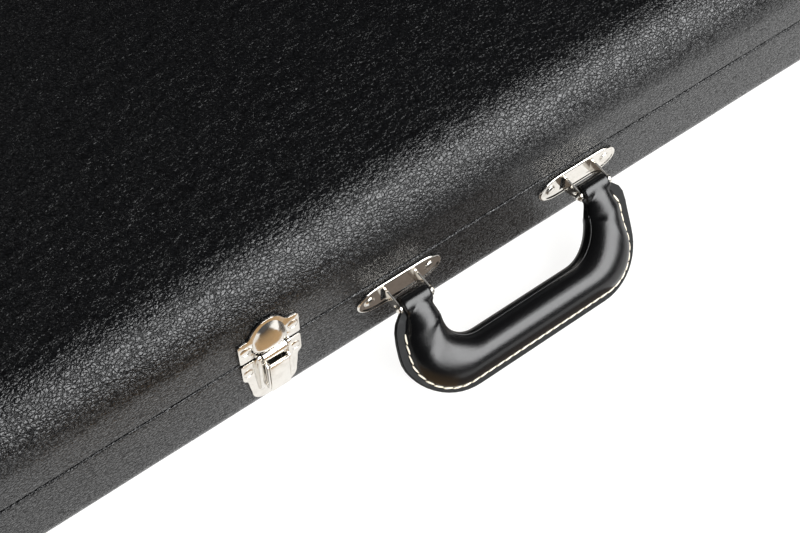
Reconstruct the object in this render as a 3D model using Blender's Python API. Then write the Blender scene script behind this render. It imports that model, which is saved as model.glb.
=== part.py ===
"""A rectangular hard-shell guitar case with a leather handle, draw latches and a fitted inside.

The case lies flat and shut. The origin is the centre of the base's underside, +X points to the end that
holds the guitar's body, -Y is the front with the handle, and +Z is up. All sizes are in metres.

Wall fittings are modelled in a wall frame: x along the wall, y up from the seam, z out of the wall.
An empty at each place turns that frame to face the front, an end or the rear.
"""

import math

import bmesh
import bpy
from mathutils import Matrix, Vector

MM = 0.001
GAP = 0.4 * MM

# The shells.
LENGTH = 1060 * MM
WIDTH = 370 * MM
HEIGHT = 101 * MM
SEAM = 50 * MM
SEAM_GAP = 0.6 * MM
WALL = 5 * MM
CORNER = 45 * MM
CORNER_STEPS = 6
BASE_ROUND = 14 * MM
SHOULDER = 31 * MM

# The fitted inside.
TONGUE_THICKNESS = 2 * MM
TONGUE_LOW = 34 * MM
TONGUE_RISE = 7.5 * MM
LINER = 5 * MM
FLOOR_PAD_TOP = WALL + 7.4 * MM
FLOOR_PAD_INSET = 12 * MM
MOULD_INSET = 7.9 * MM
MOULD_LOW = FLOOR_PAD_TOP + GAP
MOULD_TOP = 47.5 * MM
NECK_HALF = 36 * MM
MOULD_PARTINGS = {"head": (-LENGTH, -295 * MM), "neck": (-295 * MM, -40 * MM), "body": (-40 * MM, LENGTH)}
CRADLE_X = (-235 * MM, -195 * MM)
CRADLE_TOP = 43 * MM
CRADLE_DIP = 30 * MM
BOX_X = (-280 * MM, -60 * MM)
BOX_Y = (55 * MM, 160 * MM)
BOX_TOP = 44 * MM
BOX_WALL = 2 * MM
PANEL_LOW = 45 * MM
PANEL_TOP = 47.4 * MM
PANEL_AXIS_Y = BOX_Y[1] - 4 * MM
PANEL_AXIS_Z = 46.3 * MM

# The hinges on the rear wall.
HINGE_PLACES = {"left": -330 * MM, "middle": 0.0, "right": 330 * MM}
HINGE_HALF = 20 * MM
HINGE_AXIS_OUT = 3.6 * MM
BARREL_RADIUS = 2.9 * MM
BARREL_BORE = 1.75 * MM
BARREL_SPLIT = 7 * MM
LEAF_REACH = 17 * MM
PLATE_LOW = 0.3 * MM
PLATE_HIGH = 1.3 * MM

# The latches, in the wall frame.
LATCH_FRONT = {"front_left": -370 * MM, "front_middle": -93.7 * MM, "front_right": 370 * MM}
LEVER_PIVOT = Vector((0, -2.4 * MM, 4.2 * MM))
CLAW_PIVOT = Vector((0, -20.5 * MM, 4.9 * MM))
STUB_RADIUS = 0.9 * MM
STUB_BORE = 1.2 * MM
LEVER_HALF = 5.3 * MM
LEVER_TOP = -0.8 * MM
LEVER_BOTTOM = -24.4 * MM
LEVER_FRONT = 8.6 * MM
ARM_INNER = 5.6 * MM
ARM_OUTER = 6.5 * MM
RIB_INNER = 7.1 * MM
RIB_OUTER = 9.2 * MM
DOME_HALF = 9.3 * MM
DOME_LIP = 7.6 * MM
DOME_TOP = 24.8 * MM
DOME_OUT = 4.8 * MM

# The handle.
HANDLE_X = 39.2 * MM
BRACKET_SPREAD = 57.5 * MM
BRACKET_BELOW_SEAM = 12.65 * MM
PIN_OUT = 13 * MM
PIN_ABOVE_BRACKET = 1.2 * MM
PIN_RADIUS = 1.5 * MM
PIN_BORE = 1.85 * MM
EAR_CENTRE = 9.31 * MM
EAR_THICKNESS = 1.1 * MM
HANDLE_DROOP = math.radians(42)
GRIP_CENTRE = 39.5 * MM
LEG_CENTRE = 58.2 * MM
PATH_CORNER = 17 * MM
LOOP_REACH = 6 * MM


def clear_scene():
    """Removes whatever the file starts with."""
    for obj in list(bpy.data.objects):
        bpy.data.objects.remove(obj)


def finish(name, colour, roughness, metallic=0.0):
    """A plain Principled material."""
    material = bpy.data.materials.new(name)
    material.use_nodes = True
    shader = material.node_tree.nodes["Principled BSDF"]
    shader.inputs["Base Color"].default_value = (*colour, 1)
    shader.inputs["Roughness"].default_value = roughness
    shader.inputs["Metallic"].default_value = metallic
    return material


def add(name, mesh, material, parent=None):
    """Links a named object, with its material, under an optional parent."""
    obj = bpy.data.objects.new(name, mesh)
    bpy.context.scene.collection.objects.link(obj)
    if not mesh.materials:
        mesh.materials.append(material)
    obj.parent = parent
    return obj


def put_under(child, parent):
    """Parents an object and keeps its place in the world."""
    child.parent = parent
    child.matrix_parent_inverse = parent.matrix_basis.inverted()
    return child


def anchor(name, location, turn=0.0, on_wall=True, parent=None):
    """An empty that carries a fitting. On a wall, its z axis points out of the wall."""
    empty = bpy.data.objects.new(name, None)
    bpy.context.scene.collection.objects.link(empty)
    empty.parent = parent
    rise = Matrix.Rotation(math.radians(90), 4, "X") if on_wall else Matrix()
    empty.matrix_basis = Matrix.Translation(location) @ Matrix.Rotation(turn, 4, "Z") @ rise
    return empty


def bridge(name, rings, closed=False, smooth=None):
    """A solid through equal rings of points, capped at both ends or joined into a loop."""
    work = bmesh.new()
    corners = [[work.verts.new(point) for point in ring] for ring in rings]
    pairs = list(zip(corners, corners[1:]))
    if closed:
        pairs.append((corners[-1], corners[0]))
    else:
        work.faces.new(corners[0])
        work.faces.new(corners[-1])
    for near, far in pairs:
        for index in range(len(near)):
            after = (index + 1) % len(near)
            work.faces.new((near[index], near[after], far[after], far[index]))
    bmesh.ops.recalc_face_normals(work, faces=work.faces)
    mesh = bpy.data.meshes.new(name)
    work.to_mesh(mesh)
    work.free()
    if smooth is not None:
        mesh.shade_smooth()
        mesh.set_sharp_from_angle(angle=math.radians(smooth))
    return mesh


def slab(name, outline, low, high):
    """An outline in x and y, extruded along z."""
    return bridge(name, [[Vector((x, y, z)) for x, y in outline] for z in (low, high)])


def bar(name, profile, low, high):
    """A profile in y and z, extruded along x."""
    return bridge(name, [[Vector((x, y, z)) for y, z in profile] for x in (low, high)])


def box(name, x, y, z):
    """A block between the given pairs of x, y and z."""
    return slab(name, [(x[0], y[0]), (x[1], y[0]), (x[1], y[1]), (x[0], y[1])], z[0], z[1])


def arc(centre, radius, start, end, steps):
    """Points on an arc, as (u, v), with angles in degrees. A pair of radii makes an ellipse."""
    across, up = radius if isinstance(radius, tuple) else (radius, radius)
    angles = [math.radians(start + (end - start) * step / steps) for step in range(steps + 1)]
    return [(centre[0] + across * math.cos(a), centre[1] + up * math.sin(a)) for a in angles]


def rod(name, radius, low, high, centre=(0, 0), sides=12):
    """A round bar along x. The centre is its y and z."""
    return bar(name, arc(centre, radius, 0, 360, sides)[:-1], low, high)


def mirrored(outline):
    """Right half of a symmetric outline, from top to bottom, closed with its left half."""
    return outline + [(-x, y) for x, y in reversed(outline) if x > 0]


def curve_through(points, steps):
    """Catmull-Rom points through (u, v) pairs, with the ends kept."""
    padded = [points[0], *points, points[-1]]
    line = []
    for a, b, c, d in zip(padded, padded[1:], padded[2:], padded[3:]):
        for step in range(steps):
            t = step / steps
            line.append(tuple(
                0.5 * (2 * q + (r - p) * t + (2 * p - 5 * q + 4 * r - s) * t * t
                       + (3 * q - p - 3 * r + s) * t ** 3)
                for p, q, r, s in zip(a, b, c, d)
            ))
    return [*line, points[-1]]


def combined(mesh, added=(), cut=()):
    """The mesh with others joined to it and then cut from it, as one plain mesh."""
    body = add("working_body", mesh, STEEL)
    tools = []
    for operation, meshes in (("UNION", added), ("DIFFERENCE", cut)):
        for shape in meshes:
            tool = add("working_tool", shape, STEEL)
            tool.hide_render = True
            tool.display_type = "WIRE"
            modifier = body.modifiers.new(operation.title(), "BOOLEAN")
            modifier.operation = operation
            modifier.solver = "EXACT"
            modifier.object = tool
            tools.append(tool)
    bpy.context.view_layer.update()
    graph = bpy.context.evaluated_depsgraph_get()
    result = bpy.data.meshes.new_from_object(body.evaluated_get(graph), depsgraph=graph)
    result.materials.clear()
    for obj in (body, *tools):
        bpy.data.objects.remove(obj)
    return result


def rounded_rectangle(half_x, half_y, radius):
    """Points round a rectangle with round corners."""
    outline = []
    for turn, (side_x, side_y) in enumerate(((1, 1), (-1, 1), (-1, -1), (1, -1))):
        centre = (side_x * (half_x - radius), side_y * (half_y - radius))
        outline += arc(centre, radius, 90 * turn, 90 * turn + 90, CORNER_STEPS)
    return outline


def case_ring(inset, height):
    """The case's outline, drawn in by an inset, at a height."""
    outline = rounded_rectangle(LENGTH / 2 - inset, WIDTH / 2 - inset, CORNER - inset)
    return [Vector((x, y, height)) for x, y in outline]


def base_shell():
    """The lower tray: a flat floor, a small round and straight walls up to the seam."""
    outside = arc((BASE_ROUND, BASE_ROUND), BASE_ROUND, 270, 180, 4)
    inside = arc((BASE_ROUND, BASE_ROUND), BASE_ROUND - WALL, 180, 270, 4)
    profile = [*outside, (0, SEAM), (WALL, SEAM), *inside]
    return bridge("base_shell", [case_ring(inset, height) for inset, height in profile], smooth=35)


def lid_profile(offset, steps):
    """Inset and height along the lid's wall and shoulder, a given distance inside its outer face."""
    spring = HEIGHT - SHOULDER
    return arc((SHOULDER, spring), SHOULDER - offset, 180, 90, steps)


def lid_shell():
    """The upper shell: a straight wall, an arched shoulder and a flat top."""
    low = SEAM + SEAM_GAP
    outside = [(0, low), *lid_profile(0, 7)]
    inside = [*reversed(lid_profile(WALL, 5)), (WALL, low)]
    return bridge("lid_shell", [case_ring(inset, height) for inset, height in inside + outside], smooth=35)


def lid_liner():
    """The soft lining pressed into the lid, above the tongue."""
    low = SEAM + TONGUE_RISE + 1.2 * MM
    back = WALL + GAP + 0.1 * MM
    face = back + LINER
    outside = [(back, low), *lid_profile(back, 5)]
    inside = [*reversed(lid_profile(face, 4)), (face, low)]
    return bridge("lid_liner", [case_ring(inset, height) for inset, height in inside + outside], smooth=35)


def seam_tongue():
    """The thin wooden rim inside the base that the lid closes over."""
    outer = WALL + GAP
    inner = outer + TONGUE_THICKNESS
    low, high = TONGUE_LOW, SEAM + TONGUE_RISE
    profile = [(outer, low), (outer, high), (inner, high), (inner, low)]
    return bridge("seam_tongue", [case_ring(inset, height) for inset, height in profile], closed=True)


def guitar_outline():
    """The recess for a guitar, seen from above: body, neck and head."""
    upper_half = [
        (498 * MM, 0), (486 * MM, 72 * MM), (448 * MM, 124 * MM), (392 * MM, 151 * MM), (335 * MM, 156 * MM),
        (275 * MM, 141 * MM), (220 * MM, 123 * MM), (165 * MM, 126 * MM), (110 * MM, 139 * MM),
        (55 * MM, 136 * MM), (15 * MM, 108 * MM), (0, 62 * MM), (-20 * MM, NECK_HALF + 2 * MM),
        (-60 * MM, NECK_HALF), (-100 * MM, NECK_HALF), (-240 * MM, NECK_HALF), (-262 * MM, 37 * MM),
        (-292 * MM, 47 * MM), (-380 * MM, 54 * MM),
        (-462 * MM, 52 * MM), (-486 * MM, 34 * MM), (-490 * MM, 0),
    ]
    half = curve_through(upper_half, 3)
    return half + [(x, -y) for x, y in reversed(half[1:-1])]


def mould_block(start, end, side):
    """One foam block beside the guitar, between two x places. Side is -1 at the front, 1 at the rear."""
    outline = rounded_rectangle(LENGTH / 2 - MOULD_INSET, WIDTH / 2 - MOULD_INSET, CORNER - MOULD_INSET)
    block = slab("mould_block", outline, MOULD_LOW, MOULD_TOP)
    beyond, around = 5 * MM, 1 * MM
    tall = (MOULD_LOW - beyond, MOULD_TOP + beyond)
    recess = slab("recess", guitar_outline(), *tall)
    pocket_x = (BOX_X[0] - around, BOX_X[1] + around)
    pocket_y = (BOX_Y[0] - around, BOX_Y[1] + around)
    pocket = box("pocket", pocket_x, pocket_y, tall)
    other_half = box("aside", (-LENGTH, LENGTH), sorted((-side * WIDTH, side * GAP / 2)), tall)
    cutters = [recess, other_half]
    if start > -LENGTH:
        cutters.append(box("aside", (-2 * LENGTH, start + GAP / 2), (-WIDTH, WIDTH), tall))
    if end < LENGTH:
        cutters.append(box("aside", (end - GAP / 2, 2 * LENGTH), (-WIDTH, WIDTH), tall))
    if side > 0 and start < BOX_X[0] < end:
        cutters.append(pocket)
    return combined(block, cut=cutters)


def floor_pad():
    """The padding on the base's floor."""
    outline = rounded_rectangle(
        LENGTH / 2 - FLOOR_PAD_INSET, WIDTH / 2 - FLOOR_PAD_INSET, CORNER - FLOOR_PAD_INSET)
    return slab("floor_pad", outline, WALL + GAP, FLOOR_PAD_TOP)


def neck_cradle():
    """The block that holds up the guitar's neck, with a round dip in its top."""
    half = NECK_HALF - 0.8 * MM
    drop = CRADLE_TOP - 25 * MM
    reach = math.degrees(math.asin((CRADLE_DIP - drop) / CRADLE_DIP))
    dip = arc((0, CRADLE_TOP + CRADLE_DIP - drop), CRADLE_DIP, 180 + reach, 360 - reach, 8)
    profile = [(-half, MOULD_LOW), (-half, CRADLE_TOP), *dip, (half, CRADLE_TOP), (half, MOULD_LOW)]
    return bar("neck_cradle", profile, *CRADLE_X)


def accessory_box():
    """The open box beside the neck, with an ear at each end for its panel's pin."""
    body = box("accessory_box", BOX_X, BOX_Y, (MOULD_LOW, BOX_TOP))
    inner_x = (BOX_X[0] + BOX_WALL, BOX_X[1] - BOX_WALL)
    inner_y = (BOX_Y[0] + BOX_WALL, BOX_Y[1] - BOX_WALL)
    hollow = box("hollow", inner_x, inner_y, (MOULD_LOW + BOX_WALL, BOX_TOP + 10 * MM))
    ear_y = (PANEL_AXIS_Y - 3 * MM, PANEL_AXIS_Y + 3 * MM)
    ear_z = (BOX_TOP - 8 * MM, PANEL_AXIS_Z + 2.6 * MM)
    ear_spans = [(BOX_X[0], inner_x[0]), (inner_x[1], BOX_X[1])]
    ears = [box("ear", span, ear_y, ear_z) for span in ear_spans]
    bore = rod("bore", 1.4 * MM, BOX_X[0] - GAP, BOX_X[1] + GAP, (PANEL_AXIS_Y, PANEL_AXIS_Z))
    tray = combined(body, cut=[hollow])
    return combined(tray, added=ears, cut=[bore])


def accessory_panel():
    """The panel over the accessory box, with a rolled edge round its pin."""
    ends = (BOX_X[0] + BOX_WALL + GAP, BOX_X[1] - BOX_WALL - GAP)
    panel = box("accessory_panel", ends, (BOX_Y[0], PANEL_AXIS_Y), (PANEL_LOW, PANEL_TOP))
    roll = rod("roll", 1.95 * MM, *ends, (PANEL_AXIS_Y, PANEL_AXIS_Z))
    bore = rod("bore", 1.35 * MM, ends[0] - GAP, ends[1] + GAP, (PANEL_AXIS_Y, PANEL_AXIS_Z))
    return combined(panel, added=[roll], cut=[bore])


def accessory_tab():
    """The ribbon tab that lifts the panel."""
    middle = (BOX_X[0] + BOX_X[1]) / 2
    half, thickness = 7 * MM, 0.9 * MM
    low = PANEL_TOP + GAP
    return box("accessory_tab", (middle - half, middle + half), (BOX_Y[0] - 11 * MM, BOX_Y[0] + 16 * MM),
               (low, low + thickness))


def rivet_head(x, y, radius=2.3 * MM, height=0.7 * MM):
    """A low round rivet head, standing on a plate in the wall frame."""
    levels = [(radius, PLATE_HIGH - 0.3 * MM), (radius, PLATE_HIGH + 0.2 * MM),
              (radius * 0.55, PLATE_HIGH + height)]
    rings = [[Vector((u, v, z)) for u, v in arc((x, y), r, 0, 360, 10)[:-1]] for r, z in levels]
    return bridge("rivet", rings)


def hinge_leaf(side, spans):
    """One leaf of a hinge. Side is 1 for the lid's leaf, -1 for the base's; spans are its knuckles in x."""
    axis = (SEAM_GAP / 2, HINGE_AXIS_OUT)
    near = side * 3.6 * MM + axis[0]
    far = side * LEAF_REACH + axis[0]
    plate = box("hinge_leaf", (-HINGE_HALF, HINGE_HALF), sorted((near, far)), (PLATE_LOW, PLATE_HIGH))
    added = []
    for low, high in spans:
        necks = sorted((axis[0], near + side * 0.5 * MM))
        added.append(box("neck", (low, high), necks, (PLATE_LOW + 0.2 * MM, PLATE_HIGH + 0.2 * MM)))
        added.append(rod("barrel", BARREL_RADIUS, low, high, axis, sides=14))
    added += [rivet_head(x, side * 11 * MM, 2.6 * MM) for x in (-13 * MM, 13 * MM)]
    bore = rod("bore", BARREL_BORE, -HINGE_HALF - GAP, HINGE_HALF + GAP, axis)
    return combined(plate, added, [bore])


def headed_pin(name, radius, head, half, head_length, centre):
    """A pin along x with a low head at each end."""
    levels = [(-half - head_length, head * 0.7), (-half - head_length * 0.6, head), (-half, head),
              (-half, radius), (half, radius), (half, head), (half + head_length * 0.6, head),
              (half + head_length, head * 0.7)]
    rings = [[Vector((x, y, z)) for y, z in arc(centre, r, 0, 360, 12)[:-1]] for x, r in levels]
    return bridge(name, rings, smooth=40)


def latch_keeper():
    """The lid's half of a latch: a plate with two ears and a low hood over the claw's place."""
    ear, low = 16.7 * MM, 1.6 * MM
    right = [(0, 26.3 * MM), (4.6 * MM, 25.1 * MM), (8.1 * MM, 21.4 * MM), (10.7 * MM, 17.9 * MM),
             (13.4 * MM, 17.6 * MM)]
    right += arc((ear - 1.7 * MM, 15.6 * MM), 1.7 * MM, 80, 0, 3)
    right += [*arc((ear - 1.2 * MM, low + 1.2 * MM), 1.2 * MM, 0, -90, 2)]
    plate = slab("latch_keeper", mirrored(right), PLATE_LOW, PLATE_HIGH)
    rings = []
    for tilt in range(0, 90, 12):
        shrink = math.cos(math.radians(tilt))
        height = DOME_LIP + (DOME_TOP - DOME_LIP) * math.sin(math.radians(tilt))
        rings.append(hood_arch(DOME_HALF * shrink, DOME_OUT * shrink, height))
    hood = bridge("hood", rings)
    rivets = [rivet_head(side * 13.2 * MM, 10.0 * MM, 2.2 * MM) for side in (-1, 1)]
    return combined(plate, [hood, *rivets])


def hood_arch(half, out, height):
    """A squarish arch at one height of the hood, closed along its foot inside the plate."""
    foot = PLATE_HIGH - 0.5 * MM
    squareness = 2 / 2.7
    ring = []
    for step in range(11):
        angle = math.pi * step / 10
        across = math.copysign(abs(math.cos(angle)) ** squareness, math.cos(angle))
        ring.append(Vector((half * across, height, foot + (out - foot) * math.sin(angle) ** squareness)))
    return ring


def latch_base_plate():
    """The base's half of a latch: a shaped plate with two ribs, whose inner stubs carry the lever."""
    wing, top = 16.6 * MM, -0.4 * MM
    right = [(0, top), *arc((wing - 1.3 * MM, top - 1.3 * MM), 1.3 * MM, 90, 0, 2)]
    right += curve_through([(wing, -12.6 * MM), (14.9 * MM, -15.2 * MM), (13.9 * MM, -19 * MM),
                            (13.0 * MM, -26.5 * MM)], 2)
    right += [*arc((5.6 * MM, -28.6 * MM), (7.2 * MM, 8 * MM), -5, -90, 5), (0, -36.6 * MM)]
    plate = slab("latch_base_plate", mirrored(right), PLATE_LOW, PLATE_HIGH)
    foot, ridge = 0.9 * MM, 5.5 * MM
    step, above_keeper = top - 0.5 * MM, PLATE_HIGH + 0.5 * MM
    tip = 5.9 * MM
    profile = [(-27 * MM, foot), (-27 * MM, 2.4 * MM), (-22 * MM, 5.0 * MM), (-6 * MM, ridge)]
    profile += [(tip - 1.2 * MM, ridge), (tip, 4.2 * MM), (tip, above_keeper)]
    profile += [(step, above_keeper), (step, foot)]
    pivot = (LEVER_PIVOT.y, LEVER_PIVOT.z)
    added = []
    for side in (-1, 1):
        added.append(bar("rib", profile, *sorted((side * RIB_INNER, side * RIB_OUTER))))
        stub_ends = sorted((side * (LEVER_HALF - 0.9 * MM), side * (RIB_INNER + 1 * MM)))
        added.append(rod("stub", STUB_RADIUS, *stub_ends, pivot))
        added.append(rivet_head(side * 13.2 * MM, -7.4 * MM, 2.2 * MM))
    return combined(plate, added)


def latch_lever():
    """The lever: a box open at the back and top, with a round nose at its pivot."""
    pivot = (LEVER_PIVOT.y, LEVER_PIVOT.z)
    nose, chamfer, sheet = 1.9 * MM, 0.7 * MM, 0.9 * MM
    back = pivot[1] - nose + 0.1 * MM
    profile = [(LEVER_TOP - chamfer, LEVER_FRONT), (LEVER_TOP, LEVER_FRONT - chamfer),
               *arc(pivot, nose, 35, -90, 5)]
    profile += [(-19.5 * MM, back), (-22.8 * MM, 3.2 * MM), (LEVER_BOTTOM, 5.4 * MM),
                (LEVER_BOTTOM, LEVER_FRONT - chamfer), (LEVER_BOTTOM + chamfer, LEVER_FRONT)]
    body = bar("latch_lever", profile, -LEVER_HALF, LEVER_HALF)
    inner = LEVER_HALF - sheet
    hollow = box("hollow", (-inner, inner), (LEVER_BOTTOM + sheet, 5 * MM), (-1 * MM, LEVER_FRONT - sheet))
    ends = (-LEVER_HALF - GAP, LEVER_HALF + GAP)
    bores = [rod("bore", STUB_BORE, *ends, (place.y, place.z)) for place in (LEVER_PIVOT, CLAW_PIVOT)]
    return combined(body, cut=[hollow, *bores])


def latch_claw():
    """The claw: two arms outside the lever, a strip across their tops and a hook under the hood."""
    pivot = (CLAW_PIVOT.y, CLAW_PIVOT.z)
    top, edge = 6.2 * MM, -0.2 * MM
    inner, outer, sheet = 5.4 * MM, 8.2 * MM, 1.1 * MM
    eye = arc(pivot, 2.4 * MM, 100, 260, 5)
    arm = [(-15 * MM, inner), (top, inner), (top, outer), (-15 * MM, outer), *eye]
    strip = [(-ARM_OUTER, top), (-ARM_OUTER, edge), *arc((0, edge), (5.2 * MM, 1.8 * MM), 180, 0, 6),
             (ARM_OUTER, edge), (ARM_OUTER, top)]
    body = slab("latch_claw", strip, outer - sheet, outer)
    added = [box("hook", (-6 * MM, 6 * MM), (top - sheet, top), (3.0 * MM, outer - 0.3 * MM))]
    for side in (-1, 1):
        added.append(bar("arm", arm, *sorted((side * ARM_INNER, side * ARM_OUTER))))
        stub_ends = sorted((side * (LEVER_HALF - 0.9 * MM), side * (ARM_INNER + 0.5 * MM)))
        added.append(rod("stub", STUB_RADIUS, *stub_ends, pivot))
    return combined(body, added)


def plate_outline(inset):
    """A handle plate's outline: straight above and below, with elliptical ends."""
    half, rise, straight = 25.67 * MM - inset, 8.6 * MM - inset, 12.5 * MM
    right = arc((straight, 0), (half - straight, rise), -90, 90, 10)
    return right + [(-x, -y) for x, y in right]


def handle_plate():
    """The pressed plate on the wall, with a raised rim and two slots for its bracket."""
    face, back = 1.9 * MM, 1.35 * MM
    levels = [(2.2 * MM, back), (1.5 * MM, 0.9 * MM), (1.1 * MM, PLATE_LOW), (0, PLATE_LOW), (0.3 * MM, 1.5 * MM),
              (1.0 * MM, 2.5 * MM), (1.6 * MM, 2.4 * MM), (2.6 * MM, face)]
    rings = [[Vector((x, y, z)) for x, y in plate_outline(inset)] for inset, z in levels]
    plate = bridge("handle_plate", rings)
    slots = [box("slot", (x - 2.0 * MM, x + 1.0 * MM), (-5.2 * MM, 5.2 * MM), (0, 4 * MM))
             for x in (-EAR_CENTRE, EAR_CENTRE)]
    rivets = []
    for side in (-1, 1):
        centre = (side * 18 * MM, 0)
        levels = [(2.6 * MM, face - 0.3 * MM), (2.6 * MM, face + 0.3 * MM), (1.6 * MM, face + 1.0 * MM)]
        rivets.append(bridge("rivet", [[Vector((u, v, z)) for u, v in arc(centre, r, 0, 360, 10)[:-1]]
                                       for r, z in levels]))
    return combined(plate, rivets, slots)


def handle_bracket():
    """The U-shaped bracket: a web behind the plate and two ears that hold the handle's pin."""
    web = box("handle_bracket", (-EAR_CENTRE, EAR_CENTRE), (-4.8 * MM, 4.8 * MM), (PLATE_LOW, 1.0 * MM))
    tip = 3.1 * MM
    profile = [(-4.8 * MM, PLATE_LOW), (-4.8 * MM, 5.5 * MM),
               *arc((PIN_ABOVE_BRACKET, PIN_OUT), tip, 180, 0, 8), (4.8 * MM, 5.5 * MM), (4.8 * MM, PLATE_LOW)]
    half = EAR_THICKNESS / 2
    ears = [bar("ear", profile, x - half, x + half) for x in (-EAR_CENTRE, EAR_CENTRE)]
    bore = rod("bore", PIN_BORE, -12 * MM, 12 * MM, (PIN_ABOVE_BRACKET, PIN_OUT))
    return combined(web, ears, [bore])


def grow(along, start, end):
    """0 before start, 1 after end, and straight between them."""
    return min(max((along - start) / (end - start), 0), 1)


def lean(along):
    """How far the soft handle leans sideways at a distance from its pins."""
    share = grow(along, LOOP_REACH, 14 * MM)
    return -share * share * (3 - 2 * share) * (3 * MM + 0.1 * along)


def handle_path():
    """Stations along the upright handle: (x, distance from the pins), from the right pin to the left."""
    corner = (LEG_CENTRE - PATH_CORNER, GRIP_CENTRE - PATH_CORNER)
    turn = arc(corner, PATH_CORNER, 0, 90, 5)
    leg = [(BRACKET_SPREAD, 0), (BRACKET_SPREAD, LOOP_REACH), (BRACKET_SPREAD, 8.5 * MM)]
    leg += [(LEG_CENTRE, 11.5 * MM), (LEG_CENTRE, 16 * MM)]
    right = [*leg, *turn, (22 * MM, GRIP_CENTRE)]
    return right + [(0, GRIP_CENTRE)] + [(-x, s) for x, s in reversed(right)]


def path_frames(path):
    """Each station, moved by the handle's lean, with its outward direction in the handle's plane."""
    frames = []
    for index, here in enumerate(path):
        before, after = path[max(index - 1, 0)], path[min(index + 1, len(path) - 1)]
        run = Vector((after[0] - before[0], after[1] - before[1])).normalized()
        if here[1] <= GRIP_CENTRE - PATH_CORNER:
            run = Vector((0, math.copysign(1, here[0])))
        frames.append((Vector((here[0] + lean(here[1]), here[1])), Vector((run.y, -run.x))))
    return frames


def handle_section(centre, outward, half, thick, tail):
    """A round section with a flat flange on its outer side, in the handle's own x, y and z."""
    ring = []
    for step in range(13):
        angle = math.radians(20 + 320 * step / 12)
        place = centre + outward * half * math.cos(angle)
        ring.append(Vector((place.x, place.y, thick * math.sin(angle))))
    for side in (-1, 1):
        place = centre + outward * (half + tail)
        ring.append(Vector((place.x, place.y, side * 1.6 * MM)))
    return ring


def handle_grip():
    """The padded leather handle, hollow along its core, with a loop round each pin."""
    stations = path_frames(handle_path())
    rings = []
    for centre, outward in stations:
        half = 8.1 * MM + 2.5 * MM * grow(centre.y, LOOP_REACH, 14 * MM)
        thick = 5.2 * MM + 5.4 * MM * grow(centre.y, 0, 14 * MM)
        tail = 0.1 * MM + 4.9 * MM * grow(centre.y, LOOP_REACH, 11 * MM)
        rings.append(handle_section(centre, outward, half, thick, tail))
    loops = []
    for index in (0, -1):
        x = stations[index][0].x
        loops.append(rod("loop", 5.4 * MM, x - 8.4 * MM, x + 8.4 * MM, (0, 0), sides=18))
    bores = [rod("bore", PIN_BORE, x - 10 * MM, x + 10 * MM) for x in (-BRACKET_SPREAD, BRACKET_SPREAD)]
    pockets = [rod("pocket", 3.8 * MM, x - 4.6 * MM, x + 4.6 * MM) for x in (-BRACKET_SPREAD, BRACKET_SPREAD)]
    channel = core_strip(4.6 * MM, 1.5 * MM)
    return combined(bridge("handle_grip", rings), loops, [channel, *pockets, *bores])


def core_strip(half, thick):
    """A flat strip that follows the handle's path."""
    rings = []
    for centre, outward in path_frames(handle_path()):
        sides = (centre + outward * half, centre - outward * half)
        ring = [Vector((sides[0].x, sides[0].y, thick)), Vector((sides[1].x, sides[1].y, thick)),
                Vector((sides[1].x, sides[1].y, -thick)), Vector((sides[0].x, sides[0].y, -thick))]
        rings.append(ring)
    return bridge("core", rings)


def handle_core():
    """The steel strip inside the handle, with an eye round each pin."""
    strip = core_strip(4 * MM, 1 * MM)
    eyes = [rod("eye", 3.3 * MM, x - 4.1 * MM, x + 4.1 * MM) for x in (-BRACKET_SPREAD, BRACKET_SPREAD)]
    bores = [rod("bore", PIN_BORE, x - 10 * MM, x + 10 * MM) for x in (-BRACKET_SPREAD, BRACKET_SPREAD)]
    return combined(strip, eyes, bores)


def spine_foot():
    """A rubber foot for standing the case on its hinge side, in the wall frame."""
    levels = [(8 * MM, PLATE_LOW), (8 * MM, 5.5 * MM), (7 * MM, 8.2 * MM), (5 * MM, 9 * MM)]
    rings = [[Vector((u, v, z)) for u, v in arc((0, 0), r, 0, 360, 16)[:-1]] for r, z in levels]
    return bridge("spine_foot", rings, smooth=40)


def build_shells():
    """The two shells and everything fitted inside them."""
    add("base_shell", base_shell(), VINYL)
    put_under(add("lid_shell", lid_shell(), VINYL), LID)
    add("seam_tongue", seam_tongue(), WOOD)
    put_under(add("lid_liner", lid_liner(), PLUSH), LID)
    add("floor_pad", floor_pad(), PLUSH)
    for zone, (start, end) in MOULD_PARTINGS.items():
        add(f"mould_{zone}_front", mould_block(start, end, -1), PLUSH)
        add(f"mould_{zone}_rear", mould_block(start, end, 1), PLUSH)
    add("neck_cradle", neck_cradle(), PLUSH)
    add("accessory_box", accessory_box(), PLUSH)
    put_under(add("accessory_panel", accessory_panel(), PLUSH), PANEL)
    put_under(add("accessory_tab", accessory_tab(), RIBBON), PANEL)
    centre = (PANEL_AXIS_Y, PANEL_AXIS_Z)
    pin = rod("accessory_pin", 1.0 * MM, BOX_X[0] + GAP, BOX_X[1] - GAP, centre, sides=10)
    add("accessory_pin", pin, NICKEL)


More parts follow.
